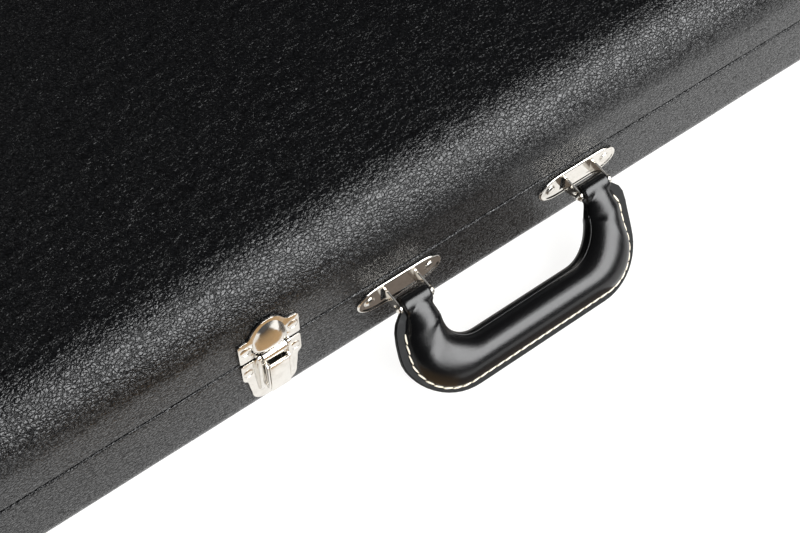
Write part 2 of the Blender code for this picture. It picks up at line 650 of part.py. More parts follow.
def build_hinges():
    """Three hinges along the rear wall. Each lid leaf has the middle knuckle."""
    outer = [(-HINGE_HALF, -BARREL_SPLIT - GAP), (BARREL_SPLIT + GAP, HINGE_HALF)]
    base_leaf = hinge_leaf(-1, outer)
    lid_leaf = hinge_leaf(1, [(-BARREL_SPLIT, BARREL_SPLIT)])
    pin = headed_pin("hinge_pin", 1.4 * MM, 2.3 * MM, HINGE_HALF + GAP, 0.9 * MM,
                     (SEAM_GAP / 2, HINGE_AXIS_OUT))
    for place, x in HINGE_PLACES.items():
        site = anchor(f"hinge_{place}", (x, WIDTH / 2, SEAM), math.pi)
        add(f"hinge_{place}_base_leaf", base_leaf, NICKEL, site)
        add(f"hinge_{place}_pin", pin, NICKEL, site)
        lid_site = anchor(f"hinge_{place}_lid_side", (x, WIDTH / 2, SEAM), math.pi)
        put_under(lid_site, LID)
        add(f"hinge_{place}_lid_leaf", lid_leaf, NICKEL, lid_site)


def build_latches():
    """Five latches: three on the front and one on each end. Levers and claws hang from their own pivots."""
    keeper, plate = latch_keeper(), latch_base_plate()
    lever, claw = latch_lever(), latch_claw()
    lever.transform(Matrix.Translation(-LEVER_PIVOT))
    claw.transform(Matrix.Translation(-CLAW_PIVOT))
    places = {name: ((x, -WIDTH / 2, SEAM), 0.0) for name, x in LATCH_FRONT.items()}
    places["end_left"] = ((-LENGTH / 2, 0, SEAM), -math.pi / 2)
    places["end_right"] = ((LENGTH / 2, 0, SEAM), math.pi / 2)
    for place, (location, turn) in places.items():
        site = anchor(f"latch_{place}", location, turn)
        add(f"latch_{place}_base_plate", plate, NICKEL, site)
        lid_site = anchor(f"latch_{place}_lid_side", location, turn)
        put_under(lid_site, LID)
        add(f"latch_{place}_keeper", keeper, NICKEL, lid_site)
        lever_axis = anchor(f"latch_{place}_lever_axis", LEVER_PIVOT, on_wall=False, parent=site)
        add(f"latch_{place}_lever", lever, NICKEL, lever_axis)
        offset = CLAW_PIVOT - LEVER_PIVOT
        claw_axis = anchor(f"latch_{place}_claw_axis", offset, on_wall=False, parent=lever_axis)
        add(f"latch_{place}_claw", claw, NICKEL, claw_axis)


def build_handle():
    """The handle, hanging from two brackets until its flange nearly meets the ground."""
    plate, bracket = handle_plate(), handle_bracket()
    pin = headed_pin("handle_pin", PIN_RADIUS, 2.4 * MM, EAR_CENTRE + EAR_THICKNESS / 2 + GAP, 0.9 * MM,
                     (PIN_ABOVE_BRACKET, PIN_OUT))
    height = SEAM - BRACKET_BELOW_SEAM
    for side, name in ((-1, "left"), (1, "right")):
        site = anchor(f"bracket_{name}", (HANDLE_X + side * BRACKET_SPREAD, -WIDTH / 2, height))
        add(f"handle_plate_{name}", plate, NICKEL, site)
        add(f"handle_bracket_{name}", bracket, NICKEL, site)
        add(f"handle_pin_{name}", pin, NICKEL, site)
    place = (HANDLE_X, -WIDTH / 2 - PIN_OUT, height + PIN_ABOVE_BRACKET)
    axis = anchor("handle_axis", place, on_wall=False)
    outward_and_down = Matrix.Rotation(HANDLE_DROOP, 4, "X") @ Matrix.Scale(-1, 4, (0, 1, 0))
    soft_part, strip = ("handle_grip", handle_grip(), LEATHER), ("handle_core", handle_core(), STEEL)
    for name, mesh, material in (soft_part, strip):
        mesh.transform(outward_and_down)
        mesh.flip_normals()
        add(name, mesh, material, axis)


def build_feet():
    """Two feet on the base's rear wall and two on the lid's."""
    foot = spine_foot()
    for name, x in (("left", -430 * MM), ("right", 430 * MM)):
        base_site = anchor(f"foot_{name}_base_site", (x, WIDTH / 2, SEAM - 22 * MM), math.pi)
        add(f"foot_base_{name}", foot, RUBBER, base_site)
        lid_site = anchor(f"foot_{name}_lid_site", (x, WIDTH / 2, SEAM + 11 * MM), math.pi)
        put_under(lid_site, LID)
        add(f"foot_lid_{name}", foot, RUBBER, lid_site)


clear_scene()
VINYL = finish("black_vinyl", (0.018, 0.018, 0.019), 0.42)
LEATHER = finish("black_leather", (0.012, 0.012, 0.012), 0.38)
NICKEL = finish("nickel", (0.78, 0.75, 0.70), 0.16, 1.0)
STEEL = finish("steel", (0.45, 0.45, 0.46), 0.4, 1.0)
PLUSH = finish("dark_plush", (0.03, 0.03, 0.034), 0.95)
WOOD = finish("stained_plywood", (0.05, 0.04, 0.035), 0.6)
RIBBON = finish("woven_ribbon", (0.02, 0.02, 0.022), 0.85)
RUBBER = finish("black_rubber", (0.02, 0.02, 0.02), 0.8)

LID = anchor("lid_axis", (0, WIDTH / 2 + HINGE_AXIS_OUT, SEAM + SEAM_GAP / 2), on_wall=False)
PANEL = anchor("panel_axis", (0, PANEL_AXIS_Y, PANEL_AXIS_Z), on_wall=False)

build_shells()
build_hinges()
build_latches()
build_handle()
build_feet()
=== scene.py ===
"""The looks of a rectangular hard-shell guitar case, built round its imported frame.

The case lies flat and shut: +X is the end for the guitar's body, -Y the front with the handle, +Z up.
Wall fittings are modelled in a wall frame (x along the wall, y up from the seam, z out of the wall) and then
turned to their own place. All sizes are in metres.
"""

import math

import bmesh
import bpy
import numpy as np
from mathutils import Matrix, Vector, noise
from mathutils.bvhtree import BVHTree


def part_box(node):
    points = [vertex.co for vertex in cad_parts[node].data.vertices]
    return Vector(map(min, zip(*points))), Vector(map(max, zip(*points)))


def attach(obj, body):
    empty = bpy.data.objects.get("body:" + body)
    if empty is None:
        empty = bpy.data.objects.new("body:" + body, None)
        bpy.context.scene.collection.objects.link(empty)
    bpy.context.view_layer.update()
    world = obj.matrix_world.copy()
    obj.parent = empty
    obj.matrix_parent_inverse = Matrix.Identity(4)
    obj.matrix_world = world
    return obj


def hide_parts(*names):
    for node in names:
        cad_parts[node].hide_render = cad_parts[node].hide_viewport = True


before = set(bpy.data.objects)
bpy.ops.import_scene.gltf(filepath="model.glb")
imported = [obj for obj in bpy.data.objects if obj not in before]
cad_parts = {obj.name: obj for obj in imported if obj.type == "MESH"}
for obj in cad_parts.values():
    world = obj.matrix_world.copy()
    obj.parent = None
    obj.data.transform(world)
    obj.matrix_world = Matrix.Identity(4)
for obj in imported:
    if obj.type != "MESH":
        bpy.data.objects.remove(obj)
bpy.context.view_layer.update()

MM = 0.001


def mm(sizes):
    """Sizes given in millimetres, a number or any nest of lists and tuples, as metres."""
    if isinstance(sizes, (list, tuple)):
        return type(sizes)(mm(size) for size in sizes)
    return sizes * MM


# The case's outside, read from the frame, with the radii that its shells are made to.
BASE_LOW, BASE_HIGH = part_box("base_shell")
LID_LOW, LID_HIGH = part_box("lid_shell")
LENGTH = BASE_HIGH.x - BASE_LOW.x
WIDTH = BASE_HIGH.y - BASE_LOW.y
HEIGHT = LID_HIGH.z
SEAM = BASE_HIGH.z
LID_EDGE = LID_LOW.z
WALL = 5 * MM
CORNER = 45 * MM
SHOULDER = 31 * MM
BASE_ROUND = 14 * MM
EDGE_ROUND = 0.9 * MM
EDGE_BACK = 0.45 * MM
CORNER_STEPS = 22
LONG_STEPS = 230
SHORT_STEPS = 66

# Both signs, for what is mirrored, and where plates lie on the wall, in the wall frame.
SIDES = (-1, 1)
PLATE_LOW = 0.3 * MM
PLATE_HIGH = 1.3 * MM

# The latches, in the wall frame.
LATCHES = {"front_left": 0, "front_middle": 0, "front_right": 0, "end_left": -90, "end_right": 90}
LEVER_PIVOT = mm((-2.4, 4.2))
CLAW_PIVOT = mm((-20.5, 4.9))
LEVER_HALF = 5.35 * MM
LEVER_TOP = mm((-0.8, 8.9))
LEVER_BOTTOM = mm((-24.5, 8.1))
ARM = mm((5.6, 6.5))
RIB = mm((7.1, 9.3))
HOOD_HALF = 9.4 * MM
HOOD_LIP = 7.9 * MM
HOOD_TOP = 24.9 * MM
HOOD_OUT = 5.2 * MM
SHEET = 0.9 * MM
STUB_RADIUS = 0.9 * MM
LATCH_RIVET_X = 13.2 * MM
LATCH_RIVET_RADIUS = 2.7 * MM
LATCH_RIVET_RISE = 0.38 * MM
PLATE_EDGE = 0.15 * MM

# The hinges, in the wall frame.
HINGE_HALF = 20 * MM
HINGE_AXIS = ((LID_EDGE - SEAM) / 2, 3.6 * MM)
BARREL_RADIUS = 2.9 * MM
BARREL_SPLIT = 7 * MM
LEAF_REACH = 17 * MM
PIN_HEAD_LENGTH = 0.9 * MM
PIN_PLAY = 0.4 * MM

# The handle, in its own plane: x along the wall and s away from its pins.
BRACKET_SPREAD = 57.5 * MM
EAR_CENTRE = 9.31 * MM
EAR_THICKNESS = 1.1 * MM
EAR_PLACES = (-EAR_CENTRE, EAR_CENTRE)
HANDLE_AXIS = mm((1.2, 13.0))
HANDLE_DROOP = math.radians(42)
LEAN = 5.7 * MM
LEAN_END = 30 * MM
LOOP_RADIUS = 5.3 * MM
LOOP_HALF = 8.2 * MM
LEG_INSIDE = 47.2 * MM
LEG_OUTSIDE = 68.9 * MM
GRIP_INSIDE = 28.7 * MM
GRIP_OUTSIDE = 51.3 * MM
INSIDE_CORNER = 17 * MM
OUTSIDE_CORNER = 25 * MM
GRIP_THICK = 10.4 * MM
FLANGE_X = 73.8 * MM
FLANGE_S = 54.7 * MM
FLANGE_CORNER = 33 * MM
FLANGE_HALF = 1.55 * MM
STITCH_LENGTH = 5.1 * MM
STITCH_PITCH = 5.25 * MM
STITCH_RADIUS = 0.53 * MM
WELT_RADIUS = 0.55 * MM

# The inside.
MOULD_BLOCKS = [f"mould_{zone}_{side}" for zone in ("head", "neck", "body") for side in ("front", "rear")]

# The view: the direction that the camera looks in, where it stands and its lens.
CAMERA_PLACE = (-0.2491, -0.4978, 0.62865)
CAMERA_HEADING = math.radians(36.52)
CAMERA_DOWN = math.radians(56.03)
CAMERA_LENS = 64.52


# ---------------------------------------------------------------- mesh tools


def new_mesh(name, points, faces, smooth=None):
    """A mesh with its faces turned outwards, shaded smooth up to an angle in degrees."""
    mesh = bpy.data.meshes.new(name)
    mesh.from_pydata([tuple(point) for point in points], [], faces)
    work = bmesh.new()
    work.from_mesh(mesh)
    bmesh.ops.recalc_face_normals(work, faces=work.faces)
    work.to_mesh(mesh)
    work.free()
    return shaded(mesh, smooth)


def shaded(mesh, smooth):
    """Smooth shading that stays sharp over an angle in degrees."""
    if smooth is not None:
        mesh.shade_smooth()
        mesh.set_sharp_from_angle(angle=math.radians(smooth))
    return mesh


def loft(name, rings, smooth=None, loop=False):
    """A solid through equal rings of points, capped at both ends or joined into a loop."""
    around = len(rings[0])
    count = len(rings)
    points = [point for ring in rings for point in ring]
    faces = []
    for ring in range(count if loop else count - 1):
        near, far = ring * around, (ring + 1) % count * around
        for index in range(around):
            after = (index + 1) % around
            faces.append((near + index, near + after, far + after, far + index))
    if not loop:
        faces.append(tuple(range(around)))
        faces.append(tuple(range((count - 1) * around, count * around)))
    return new_mesh(name, points, faces, smooth)


def slab(name, outline, low, high):
    """An outline in x and y, extruded along z."""
    return loft(name, [[(x, y, z) for x, y in outline] for z in (low, high)])


def bar(name, profile, low, high):
    """A profile in y and z, extruded along x."""
    return loft(name, [[(x, y, z) for y, z in profile] for x in (low, high)])


def block(name, x, y, z):
    """A block between the given pairs of x, y and z."""
    return slab(name, [(x[0], y[0]), (x[1], y[0]), (x[1], y[1]), (x[0], y[1])], z[0], z[1])


def sheet(name, x, y):
    """A flat sheet between the given pairs of x and y."""
    corners = [(x[0], y[0], 0), (x[1], y[0], 0), (x[1], y[1], 0), (x[0], y[1], 0)]
    return new_mesh(name, corners, [(0, 1, 2, 3)])


def arc(centre, radius, start, end, steps):
    """Points on an arc, as (u, v), with angles in degrees. A pair of radii makes an ellipse."""
    across, up = radius if isinstance(radius, tuple) else (radius, radius)
    angles = [math.radians(start + (end - start) * step / steps) for step in range(steps + 1)]
    return [(centre[0] + across * math.cos(a), centre[1] + up * math.sin(a)) for a in angles]


def turned(name, levels, centre=(0, 0), sides=40, smooth=35, loop=False):
    """A round shape along x from pairs of x and radius, about a centre in y and z."""
    rings = [[(x, y, z) for y, z in arc(centre, radius, 0, 360, sides)[:-1]] for x, radius in levels]
    return loft(name, rings, smooth, loop)


def domed(name, levels, centre, sides=36, smooth=30):
    """A round shape along z from pairs of z and radius, about a centre in x and y."""
    rings = [[(x, y, z) for x, y in arc(centre, radius, 0, 360, sides)[:-1]] for z, radius in levels]
    return loft(name, rings, smooth)


def mirrored(outline):
    """Right half of a symmetric outline, from top to bottom, closed with its left half."""
    return outline + [(-x, y) for x, y in reversed(outline) if x > 0]


def curve_through(points, steps):
    """Catmull-Rom points through points of any size, with the ends kept."""
    padded = [points[0], *points, points[-1]]
    line = []
    for a, b, c, d in zip(padded, padded[1:], padded[2:], padded[3:]):
        for step in range(steps):
            t = step / steps
            line.append(tuple(
                0.5 * (2 * q + (r - p) * t + (2 * p - 5 * q + 4 * r - s) * t * t
                       + (3 * q - p - 3 * r + s) * t ** 3)
                for p, q, r, s in zip(a, b, c, d)
            ))
    return [*line, points[-1]]


def ease(value, start, end):
    """0 before start, 1 after end, and smooth between them."""
    share = min(max((value - start) / (end - start), 0), 1)
    return share * share * (3 - 2 * share)


def signed_power(value, power):
    """A power of a value's size, with the value's sign."""
    return math.copysign(abs(value) ** power, value)


def placed(name, data):
    """A new object in the scene."""
    obj = bpy.data.objects.new(name, data)
    bpy.context.scene.collection.objects.link(obj)
    return obj


def through_modifiers(mesh, modifiers):
    """The mesh as it comes out of modifiers, given as (type, settings) pairs."""
    obj = placed("worked", mesh)
    for kind, settings in modifiers:
        modifier = obj.modifiers.new(kind.title(), kind)
        for key, value in settings.items():
            setattr(modifier, key, value)
    graph = bpy.context.evaluated_depsgraph_get()
    result = bpy.data.meshes.new_from_object(obj.evaluated_get(graph), depsgraph=graph)
    result.name = mesh.name
    bpy.data.objects.remove(obj)
    return result


def resurfaced(mesh, voxel, rounds):
    """One even skin over all of a mesh, smoothed over a number of rounds."""
    skin = ("REMESH", {"mode": "VOXEL", "voxel_size": voxel})
    return through_modifiers(mesh, [skin, ("SMOOTH", {"factor": 0.5, "iterations": rounds})])


def cut(mesh, *cutters):
    """The mesh with other closed meshes cut from it."""
    tools = [placed("cutter", cutter) for cutter in cutters]
    steps = [("BOOLEAN", {"operation": "DIFFERENCE", "solver": "EXACT", "object": tool}) for tool in tools]
    result = through_modifiers(mesh, steps)
    for tool in tools:
        bpy.data.objects.remove(tool)
    return result


def softened(mesh, width, segments=3, angle=30, smooth=35):
    """The mesh with its sharp edges rounded."""
    work = bmesh.new()
    work.from_mesh(mesh)
    bmesh.ops.remove_doubles(work, verts=work.verts, dist=0.01 * MM)
    bmesh.ops.dissolve_limit(work, angle_limit=math.radians(1), verts=work.verts, edges=work.edges)
    sharp = [e for e in work.edges if e.is_manifold and e.calc_face_angle() > math.radians(angle)]
    bmesh.ops.bevel(work, geom=sharp, offset=width, segments=segments, profile=0.5, affect="EDGES",
                    clamp_overlap=True)
    work.to_mesh(mesh)
    work.free()
    return shaded(mesh, smooth)


def joined(name, meshes, smooth=35):
    """Several meshes as one."""
    work = bmesh.new()
    for mesh in meshes:
        work.from_mesh(mesh)
    result = bpy.data.meshes.new(name)
    work.to_mesh(result)
    work.free()
    return shaded(result, smooth)


def piece(name, mesh, material, body, nodes=(), place=None):
    """A finished piece that rides on a body and stands for CAD nodes."""
    mesh = mesh.copy()
    mesh.name = name
    if place is not None:
        mesh.transform(place)
        if place.determinant() < 0:
            mesh.flip_normals()
    mesh.materials.clear()
    mesh.materials.append(material)
    obj = placed(name, mesh)
    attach(obj, body)
    if nodes:
        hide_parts(*nodes)
    return obj


def finished(node, mesh, material, body, place):
    """The finished piece of one CAD node."""
    return piece(f"{node}_finished", mesh, material, body, [node], place)


def middle_of(node):
    """The middle of a CAD node's box."""
    low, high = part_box(node)
    return (low + high) / 2


def on_wall(x, y, z, turn):
    """The wall frame at a point of the wall, with a turn about z in degrees."""
    rise = Matrix.Rotation(math.radians(90), 4, "X")
    return Matrix.Translation((x, y, z)) @ Matrix.Rotation(math.radians(turn), 4, "Z") @ rise


# ---------------------------------------------------------------- materials


class Shader:
    """A new Principled material with short ways to add nodes to it."""

    def __init__(self, name, colour, roughness, **settings):
        self.material = bpy.data.materials.new(name)
        self.material.use_nodes = True
        self.tree = self.material.node_tree
        self.shader = self.tree.nodes["Principled BSDF"]
        self.set("Base Color", (*colour, 1))
        self.set("Roughness", roughness)
        for key, value in settings.items():
            self.set(key.replace("_", " "), value)

    def set(self, socket, value):
        self.shader.inputs[socket].default_value = value

    def link(self, value, socket):
        self.tree.links.new(value, socket)

    def drive(self, socket, value):
        self.link(value, self.shader.inputs[socket])

    def node(self, kind, inputs=None, **settings):
        """A node with its inputs set or linked. It gives the node back."""
        node = self.tree.nodes.new(kind)
        for key, value in settings.items():
            setattr(node, key, value)
        for key, value in (inputs or {}).items():
            if isinstance(value, bpy.types.NodeSocket):
                self.link(value, node.inputs[key])
            else:
                node.inputs[key].default_value = value
        return node

    def place(self, scale=(1, 1, 1), turn=(0, 0, 0)):
        """Coordinates fixed to the piece."""
        where = self.node("ShaderNodeTexCoord").outputs["Object"]
        return self.node("ShaderNodeMapping", {"Vector": where, "Scale": scale, "Rotation": turn}).outputs[0]

    def noise(self, where, scale, detail=3.0, roughness=0.55, output=0):
        inputs = {"Vector": where, "Scale": scale, "Detail": detail, "Roughness": roughness}
        return self.node("ShaderNodeTexNoise", inputs).outputs[output]

    def cells(self, where, scale, feature="DISTANCE_TO_EDGE", randomness=1.0):
        inputs = {"Vector": where, "Scale": scale, "Randomness": randomness}
        return self.node("ShaderNodeTexVoronoi", inputs, feature=feature).outputs["Distance"]

    def mapped(self, value, low, high, new_low=0.0, new_high=1.0, kind="SMOOTHSTEP"):
        inputs = {0: value, 1: low, 2: high, 3: new_low, 4: new_high}
        return self.node("ShaderNodeMapRange", inputs, interpolation_type=kind).outputs[0]

    def math(self, kind, a, b=0.0):
        return self.node("ShaderNodeMath", {0: a, 1: b}, operation=kind).outputs[0]

    def vector_math(self, kind, inputs):
        return self.node("ShaderNodeVectorMath", inputs, operation=kind).outputs[0]

    def weighted(self, *parts):
        """The sum of pairs of a value and its weight."""
        values = [value if weight == 1 else self.math("MULTIPLY", value, weight) for value, weight in parts]
        total = values[0]
        for value in values[1:]:
            total = self.math("ADD", total, value)
        return total

    def shifted(self, where, by, amount):
        """Coordinates pushed about by a noise's colour."""
        centred = self.vector_math("SUBTRACT", {0: by, 1: (0.5, 0.5, 0.5)})
        push = self.vector_math("SCALE", {0: centred, "Scale": amount})
        return self.vector_math("ADD", {0: where, 1: push})

    def mix(self, share, a, b):
        """A colour between a and b."""
        node = self.node("ShaderNodeMix", {0: share, 6: (*a, 1), 7: (*b, 1)}, data_type="RGBA")
        return node.outputs[2]

    def tint(self, share, a, b):
        self.drive("Base Color", self.mix(share, a, b))

    def bump(self, height, distance, strength=1.0, under=None):
        inputs = {"Height": height, "Distance": distance, "Strength": strength}
        if under is not None:
            inputs["Normal"] = under
        return self.node("ShaderNodeBump", inputs).outputs[0]

    def relief(self, height, distance, strength=1.0, under=None):
        self.drive("Normal", self.bump(height, distance, strength, under))


def vinyl_material():
    """Black vinyl with a pressed leather grain: rounded pebbles parted by creases, finer grain on each, and
    painted shade in the creases, which get a darker colour and a lower specular level.
    """
    made = Shader("vinyl", (0.0018, 0.0019, 0.0022), 0.3, Specular_IOR_Level=0.5)
    where = made.place(scale=(0.7, 1.0, 1.0))
    warped = made.shifted(where, made.noise(where, 150, 2, output="Color"), 4 * MM)
    cell = made.cells(warped, 640, "F1")
    pebble = made.mapped(made.math("MULTIPLY", cell, cell), 0.0, 0.42, 1.0, 0.0, "LINEAR")
    crease_and_shade = made.mapped(made.cells(warped, 640), 0.0, 0.19)
    small = made.mapped(made.cells(warped, 1400), 0.0, 0.3)
    fine = made.noise(warped, 2600, 3)
    swell = made.noise(where, 75, 2)
    height = made.weighted((pebble, 0.45), (small, 0.22), (crease_and_shade, 0.12), (fine, 0.22), (swell, 0.28))
    made.relief(height, 0.34 * MM)
    made.drive("Roughness", made.mapped(crease_and_shade, 0.0, 1.0, 0.34, 0.17))
    # Painted shade: the creases get a lower specular level and, below, a darker colour.
    made.drive("Specular IOR Level", made.mapped(crease_and_shade, 0.0, 1.0, 0.17, 0.55))
    made.tint(crease_and_shade, (0.0014, 0.0014, 0.0016), (0.0036, 0.0037, 0.0042))
    return made.material


def leather_material():
    """Smooth black handle leather, with faint pores and stretch lines."""
    made = Shader("handle_leather", (0.0025, 0.0025, 0.0027), 0.3, Specular_IOR_Level=0.42)
    where = made.place()
    pores = made.cells(made.shifted(where, made.noise(where, 500, 2, output="Color"), 1 * MM), 2100)
    grain = made.noise(where, 900, 4)
    lines = made.noise(made.place(scale=(0.3, 1, 1), turn=(0, 0, 0.4)), 420, 3)
    height = made.weighted((made.mapped(pores, 0, 0.2), 1), (grain, 1.3), (lines, 1.2))
    made.relief(height, 0.010 * MM, 0.7)
    made.drive("Roughness", made.mapped(grain, 0.3, 0.7, 0.20, 0.27))
    return made.material


def flange_material():
    """The handle's cut and dyed leather edge: matt, with fibres and small scuffs."""
    made = Shader("flange_leather", (0.004, 0.0042, 0.0045), 0.6, Specular_IOR_Level=0.2)
    where = made.place()
    scuffs = made.mapped(made.noise(where, 160, 3), 0.58, 0.72)
    made.relief(made.noise(where, 1300, 5, 0.7), 0.06 * MM, 0.8)
    made.tint(scuffs, (0.0035, 0.0037, 0.004), (0.012, 0.0125, 0.013))
    return made.material


def thread_material():
    """Cream waxed thread with a twist along it."""
    made = Shader("stitch_thread", (0.72, 0.64, 0.52), 0.55, Sheen_Weight=0.3)
    twist = made.noise(made.place(), 1800, 3)
    made.relief(twist, 0.12 * MM, 0.8)
    made.tint(made.mapped(twist, 0.3, 0.7), (0.64, 0.56, 0.44), (0.80, 0.73, 0.61))
    return made.material


def nickel_material():
    """Nickel plate: bright, slightly rolled, with fine polishing marks and dulled patches."""
    made = Shader("nickel_plate", (0.72, 0.685, 0.63), 0.13, Metallic=1.0)
    where = made.place()
    patches = made.noise(where, 210, 4)
    marks = made.noise(made.place(scale=(0.12, 1, 1), turn=(0, 0, 0.3)), 2600, 3)
    made.drive("Roughness", made.mapped(patches, 0.3, 0.75, 0.10, 0.22))
    made.relief(made.noise(where, 130, 2), 0.12 * MM, 0.5, under=made.bump(marks, 0.006 * MM, 0.5))
    made.tint(made.mapped(patches, 0.35, 0.8), (0.735, 0.705, 0.655), (0.65, 0.615, 0.56))
    return made.material


def streaked(name, colour, roughness, grain, rough, **settings):
    """A metal rolled or ground one way, with its roughness between a pair of values."""
    made = Shader(name, colour, roughness, **settings)
    streaks = made.noise(made.place(scale=grain), 900, 4)
    made.drive("Roughness", made.mapped(streaks, 0.3, 0.7, *rough))
    made.relief(streaks, 0.02 * MM, 0.6)
    return made.material


def steel_material():
    """Plain rolled steel."""
    return streaked("plain_steel", (0.42, 0.42, 0.43), 0.38, (0.2, 1, 1), (0.30, 0.48), Metallic=1.0)


def spring_shade_material():
    """Near-black steel for the spring behind each lever, its darkness painted shade for the lever's hollow.
    """
    colour = (0.012, 0.011, 0.012)
    return streaked("spring_steel_painted_shade", colour, 0.5, (1, 0.2, 1), (0.45, 0.6), Specular_IOR_Level=0.25)


def plush_material():
    """Short dark plush: clumped pile that catches the light at its tips."""
    made = Shader("plush", (0.020, 0.020, 0.023), 0.95, Sheen_Weight=0.55, Sheen_Roughness=0.45)
    made.set("Sheen Tint", (0.55, 0.56, 0.62, 1))
    where = made.place()
    brushed = made.noise(where, 26, 3)
    clumps = made.noise(where, 420, 4, 0.65)
    pile = made.noise(where, 2600, 2)
    made.relief(made.weighted((clumps, 1), (pile, 0.7)), 0.9 * MM, 0.9)
    tone = made.weighted((brushed, 0.6), (clumps, 0.4))
    made.tint(made.mapped(tone, 0.35, 0.65), (0.013, 0.013, 0.015), (0.040, 0.040, 0.046))
    return made.material


def wood_material():
    """Dark stained plywood rim: long grain with fine pores."""
    made = Shader("stained_rim", (0.05, 0.035, 0.025), 0.5)
    grain = made.noise(made.place(scale=(0.05, 1, 1)), 700, 5, 0.7)
    made.tint(made.mapped(grain, 0.3, 0.7), (0.030, 0.020, 0.014), (0.085, 0.058, 0.038))
    made.relief(grain, 0.1 * MM, 0.7)
    made.drive("Roughness", made.mapped(grain, 0.3, 0.7, 0.42, 0.6))
    return made.material


def ribbon_material():
    """Woven black ribbon."""
    made = Shader("ribbon", (0.02, 0.02, 0.022), 0.7, Sheen_Weight=0.3)
    where = made.place()
    warp = made.node("ShaderNodeTexWave", {"Vector": where, "Scale": 420.0}, bands_direction="X").outputs[1]
    weft = made.node("ShaderNodeTexWave", {"Vector": where, "Scale": 300.0}, bands_direction="Y").outputs[1]
    weave = made.math("MULTIPLY", warp, weft)
    made.relief(weave, 0.15 * MM, 0.8)
    made.tint(weave, (0.012, 0.012, 0.013), (0.045, 0.045, 0.048))
    return made.material


def rubber_material():
    """Moulded black rubber with a dusty bloom."""
    made = Shader("rubber", (0.02, 0.02, 0.02), 0.7)
    where = made.place()
    bloom = made.mapped(made.noise(where, 180, 4), 0.4, 0.75)
    made.relief(made.noise(where, 1500, 3), 0.05 * MM, 0.7)
    made.tint(bloom, (0.014, 0.014, 0.014), (0.038, 0.037, 0.036))
    return made.material


VINYL = vinyl_material()
LEATHER = leather_material()
FLANGE = flange_material()
THREAD = thread_material()
NICKEL = nickel_material()
STEEL = steel_material()
SPRING_SHADE = spring_shade_material()
PLUSH = plush_material()
WOOD = wood_material()
RIBBON = ribbon_material()
RUBBER = rubber_material()


# ---------------------------------------------------------------- the shells


def case_ring(inset, height):
    """The case's outline, drawn in by an inset, at a height, with points all along its sides."""
    half_x, half_y = LENGTH / 2 - inset, WIDTH / 2 - inset
    radius = max(CORNER - inset, 4 * MM)
    corners = []
    for turn, (side_x, side_y) in enumerate(((1, 1), (-1, 1), (-1, -1), (1, -1))):
        centre = (side_x * (half_x - radius), side_y * (half_y - radius))
        corners.append(arc(centre, radius, 90 * turn, 90 * turn + 90, CORNER_STEPS))
    ring = []
    for index, corner in enumerate(corners):
        ring += corner
        (x, y), (far_x, far_y) = corner[-1], corners[(index + 1) % 4][0]
        steps = LONG_STEPS if index % 2 == 0 else SHORT_STEPS
        for step in range(1, steps):
            share = step / steps
            ring.append((x + (far_x - x) * share, y + (far_y - y) * share))
    return [(x, y, height) for x, y in ring]


def spread(low, high, steps):
    """Evenly spaced values, both ends kept."""
    return [low + (high - low) * step / steps for step in range(steps + 1)]


def uneven(mesh, first, last, amount):
    """Moves some of a mesh's points slightly along their normals, as covering glued over wood lies."""
    normals = [Vector(vertex.normal) for vertex in mesh.vertices]
    for index in range(first, last):
        vertex = mesh.vertices[index]
        wave = noise.noise(vertex.co * 17) + 0.6 * noise.noise(vertex.co * 46)
        vertex.co += normals[index] * wave * amount


def shell_mesh(name, outside, inside):
    """A shell from its outer and inner profiles, each a list of insets and heights."""
    profile = [*outside, *inside]
    mesh = loft(name, [case_ring(inset, height) for inset, height in profile], smooth=40)
    around = len(mesh.vertices) // len(profile)
    uneven(mesh, 0, (len(outside) - 2) * around, 0.10 * MM)
    return shaded(mesh, 40)


def lid_cover():
    """The lid: flat top, arched shoulder, straight wall and a covered edge that turns in at the seam."""
    spring = HEIGHT - SHOULDER
    outside = [(inset, HEIGHT) for inset in spread(178 * MM, SHOULDER, 14)[:-1]]
    outside += arc((SHOULDER, spring), SHOULDER, 90, 180, 22)
    edge = LID_EDGE + EDGE_BACK
    outside += [(0, z) for z in spread(spring, edge + EDGE_ROUND, 5)[1:]]
    outside += arc((EDGE_ROUND, edge + EDGE_ROUND), EDGE_ROUND, 180, 270, 5)[1:]
    inside = [(WALL, edge), (WALL, edge + 3 * MM)]
    inside += arc((SHOULDER, spring), SHOULDER - WALL, 180, 90, 10)
    inside += [(inset, HEIGHT - WALL) for inset in (80 * MM, 178 * MM)]
    return shell_mesh("lid_cover", outside, inside)


def base_cover():
    """The base: straight walls, a small round at the bottom and a covered edge at the seam."""
    outside = [(inset, 0) for inset in spread(178 * MM, BASE_ROUND, 8)[:-1]]
    outside += arc((BASE_ROUND, BASE_ROUND), BASE_ROUND, 270, 180, 12)
    edge = SEAM - EDGE_BACK
    outside += [(0, z) for z in spread(BASE_ROUND, edge - EDGE_ROUND, 9)[1:]]
    outside += arc((EDGE_ROUND, edge - EDGE_ROUND), EDGE_ROUND, 180, 90, 5)[1:]
    inside = [(WALL, edge), (WALL, edge - 3 * MM)]
    inside += arc((BASE_ROUND, BASE_ROUND), BASE_ROUND - WALL, 180, 270, 6)
    inside += [(inset, WALL) for inset in (80 * MM, 178 * MM)]
    return shell_mesh("base_cover", outside, inside)


def build_shells():
    piece("lid_cover", lid_cover(), VINYL, "lid", ["lid_shell"])
    piece("base_cover", base_cover(), VINYL, "base", ["base_shell"])


# ---------------------------------------------------------------- the latches


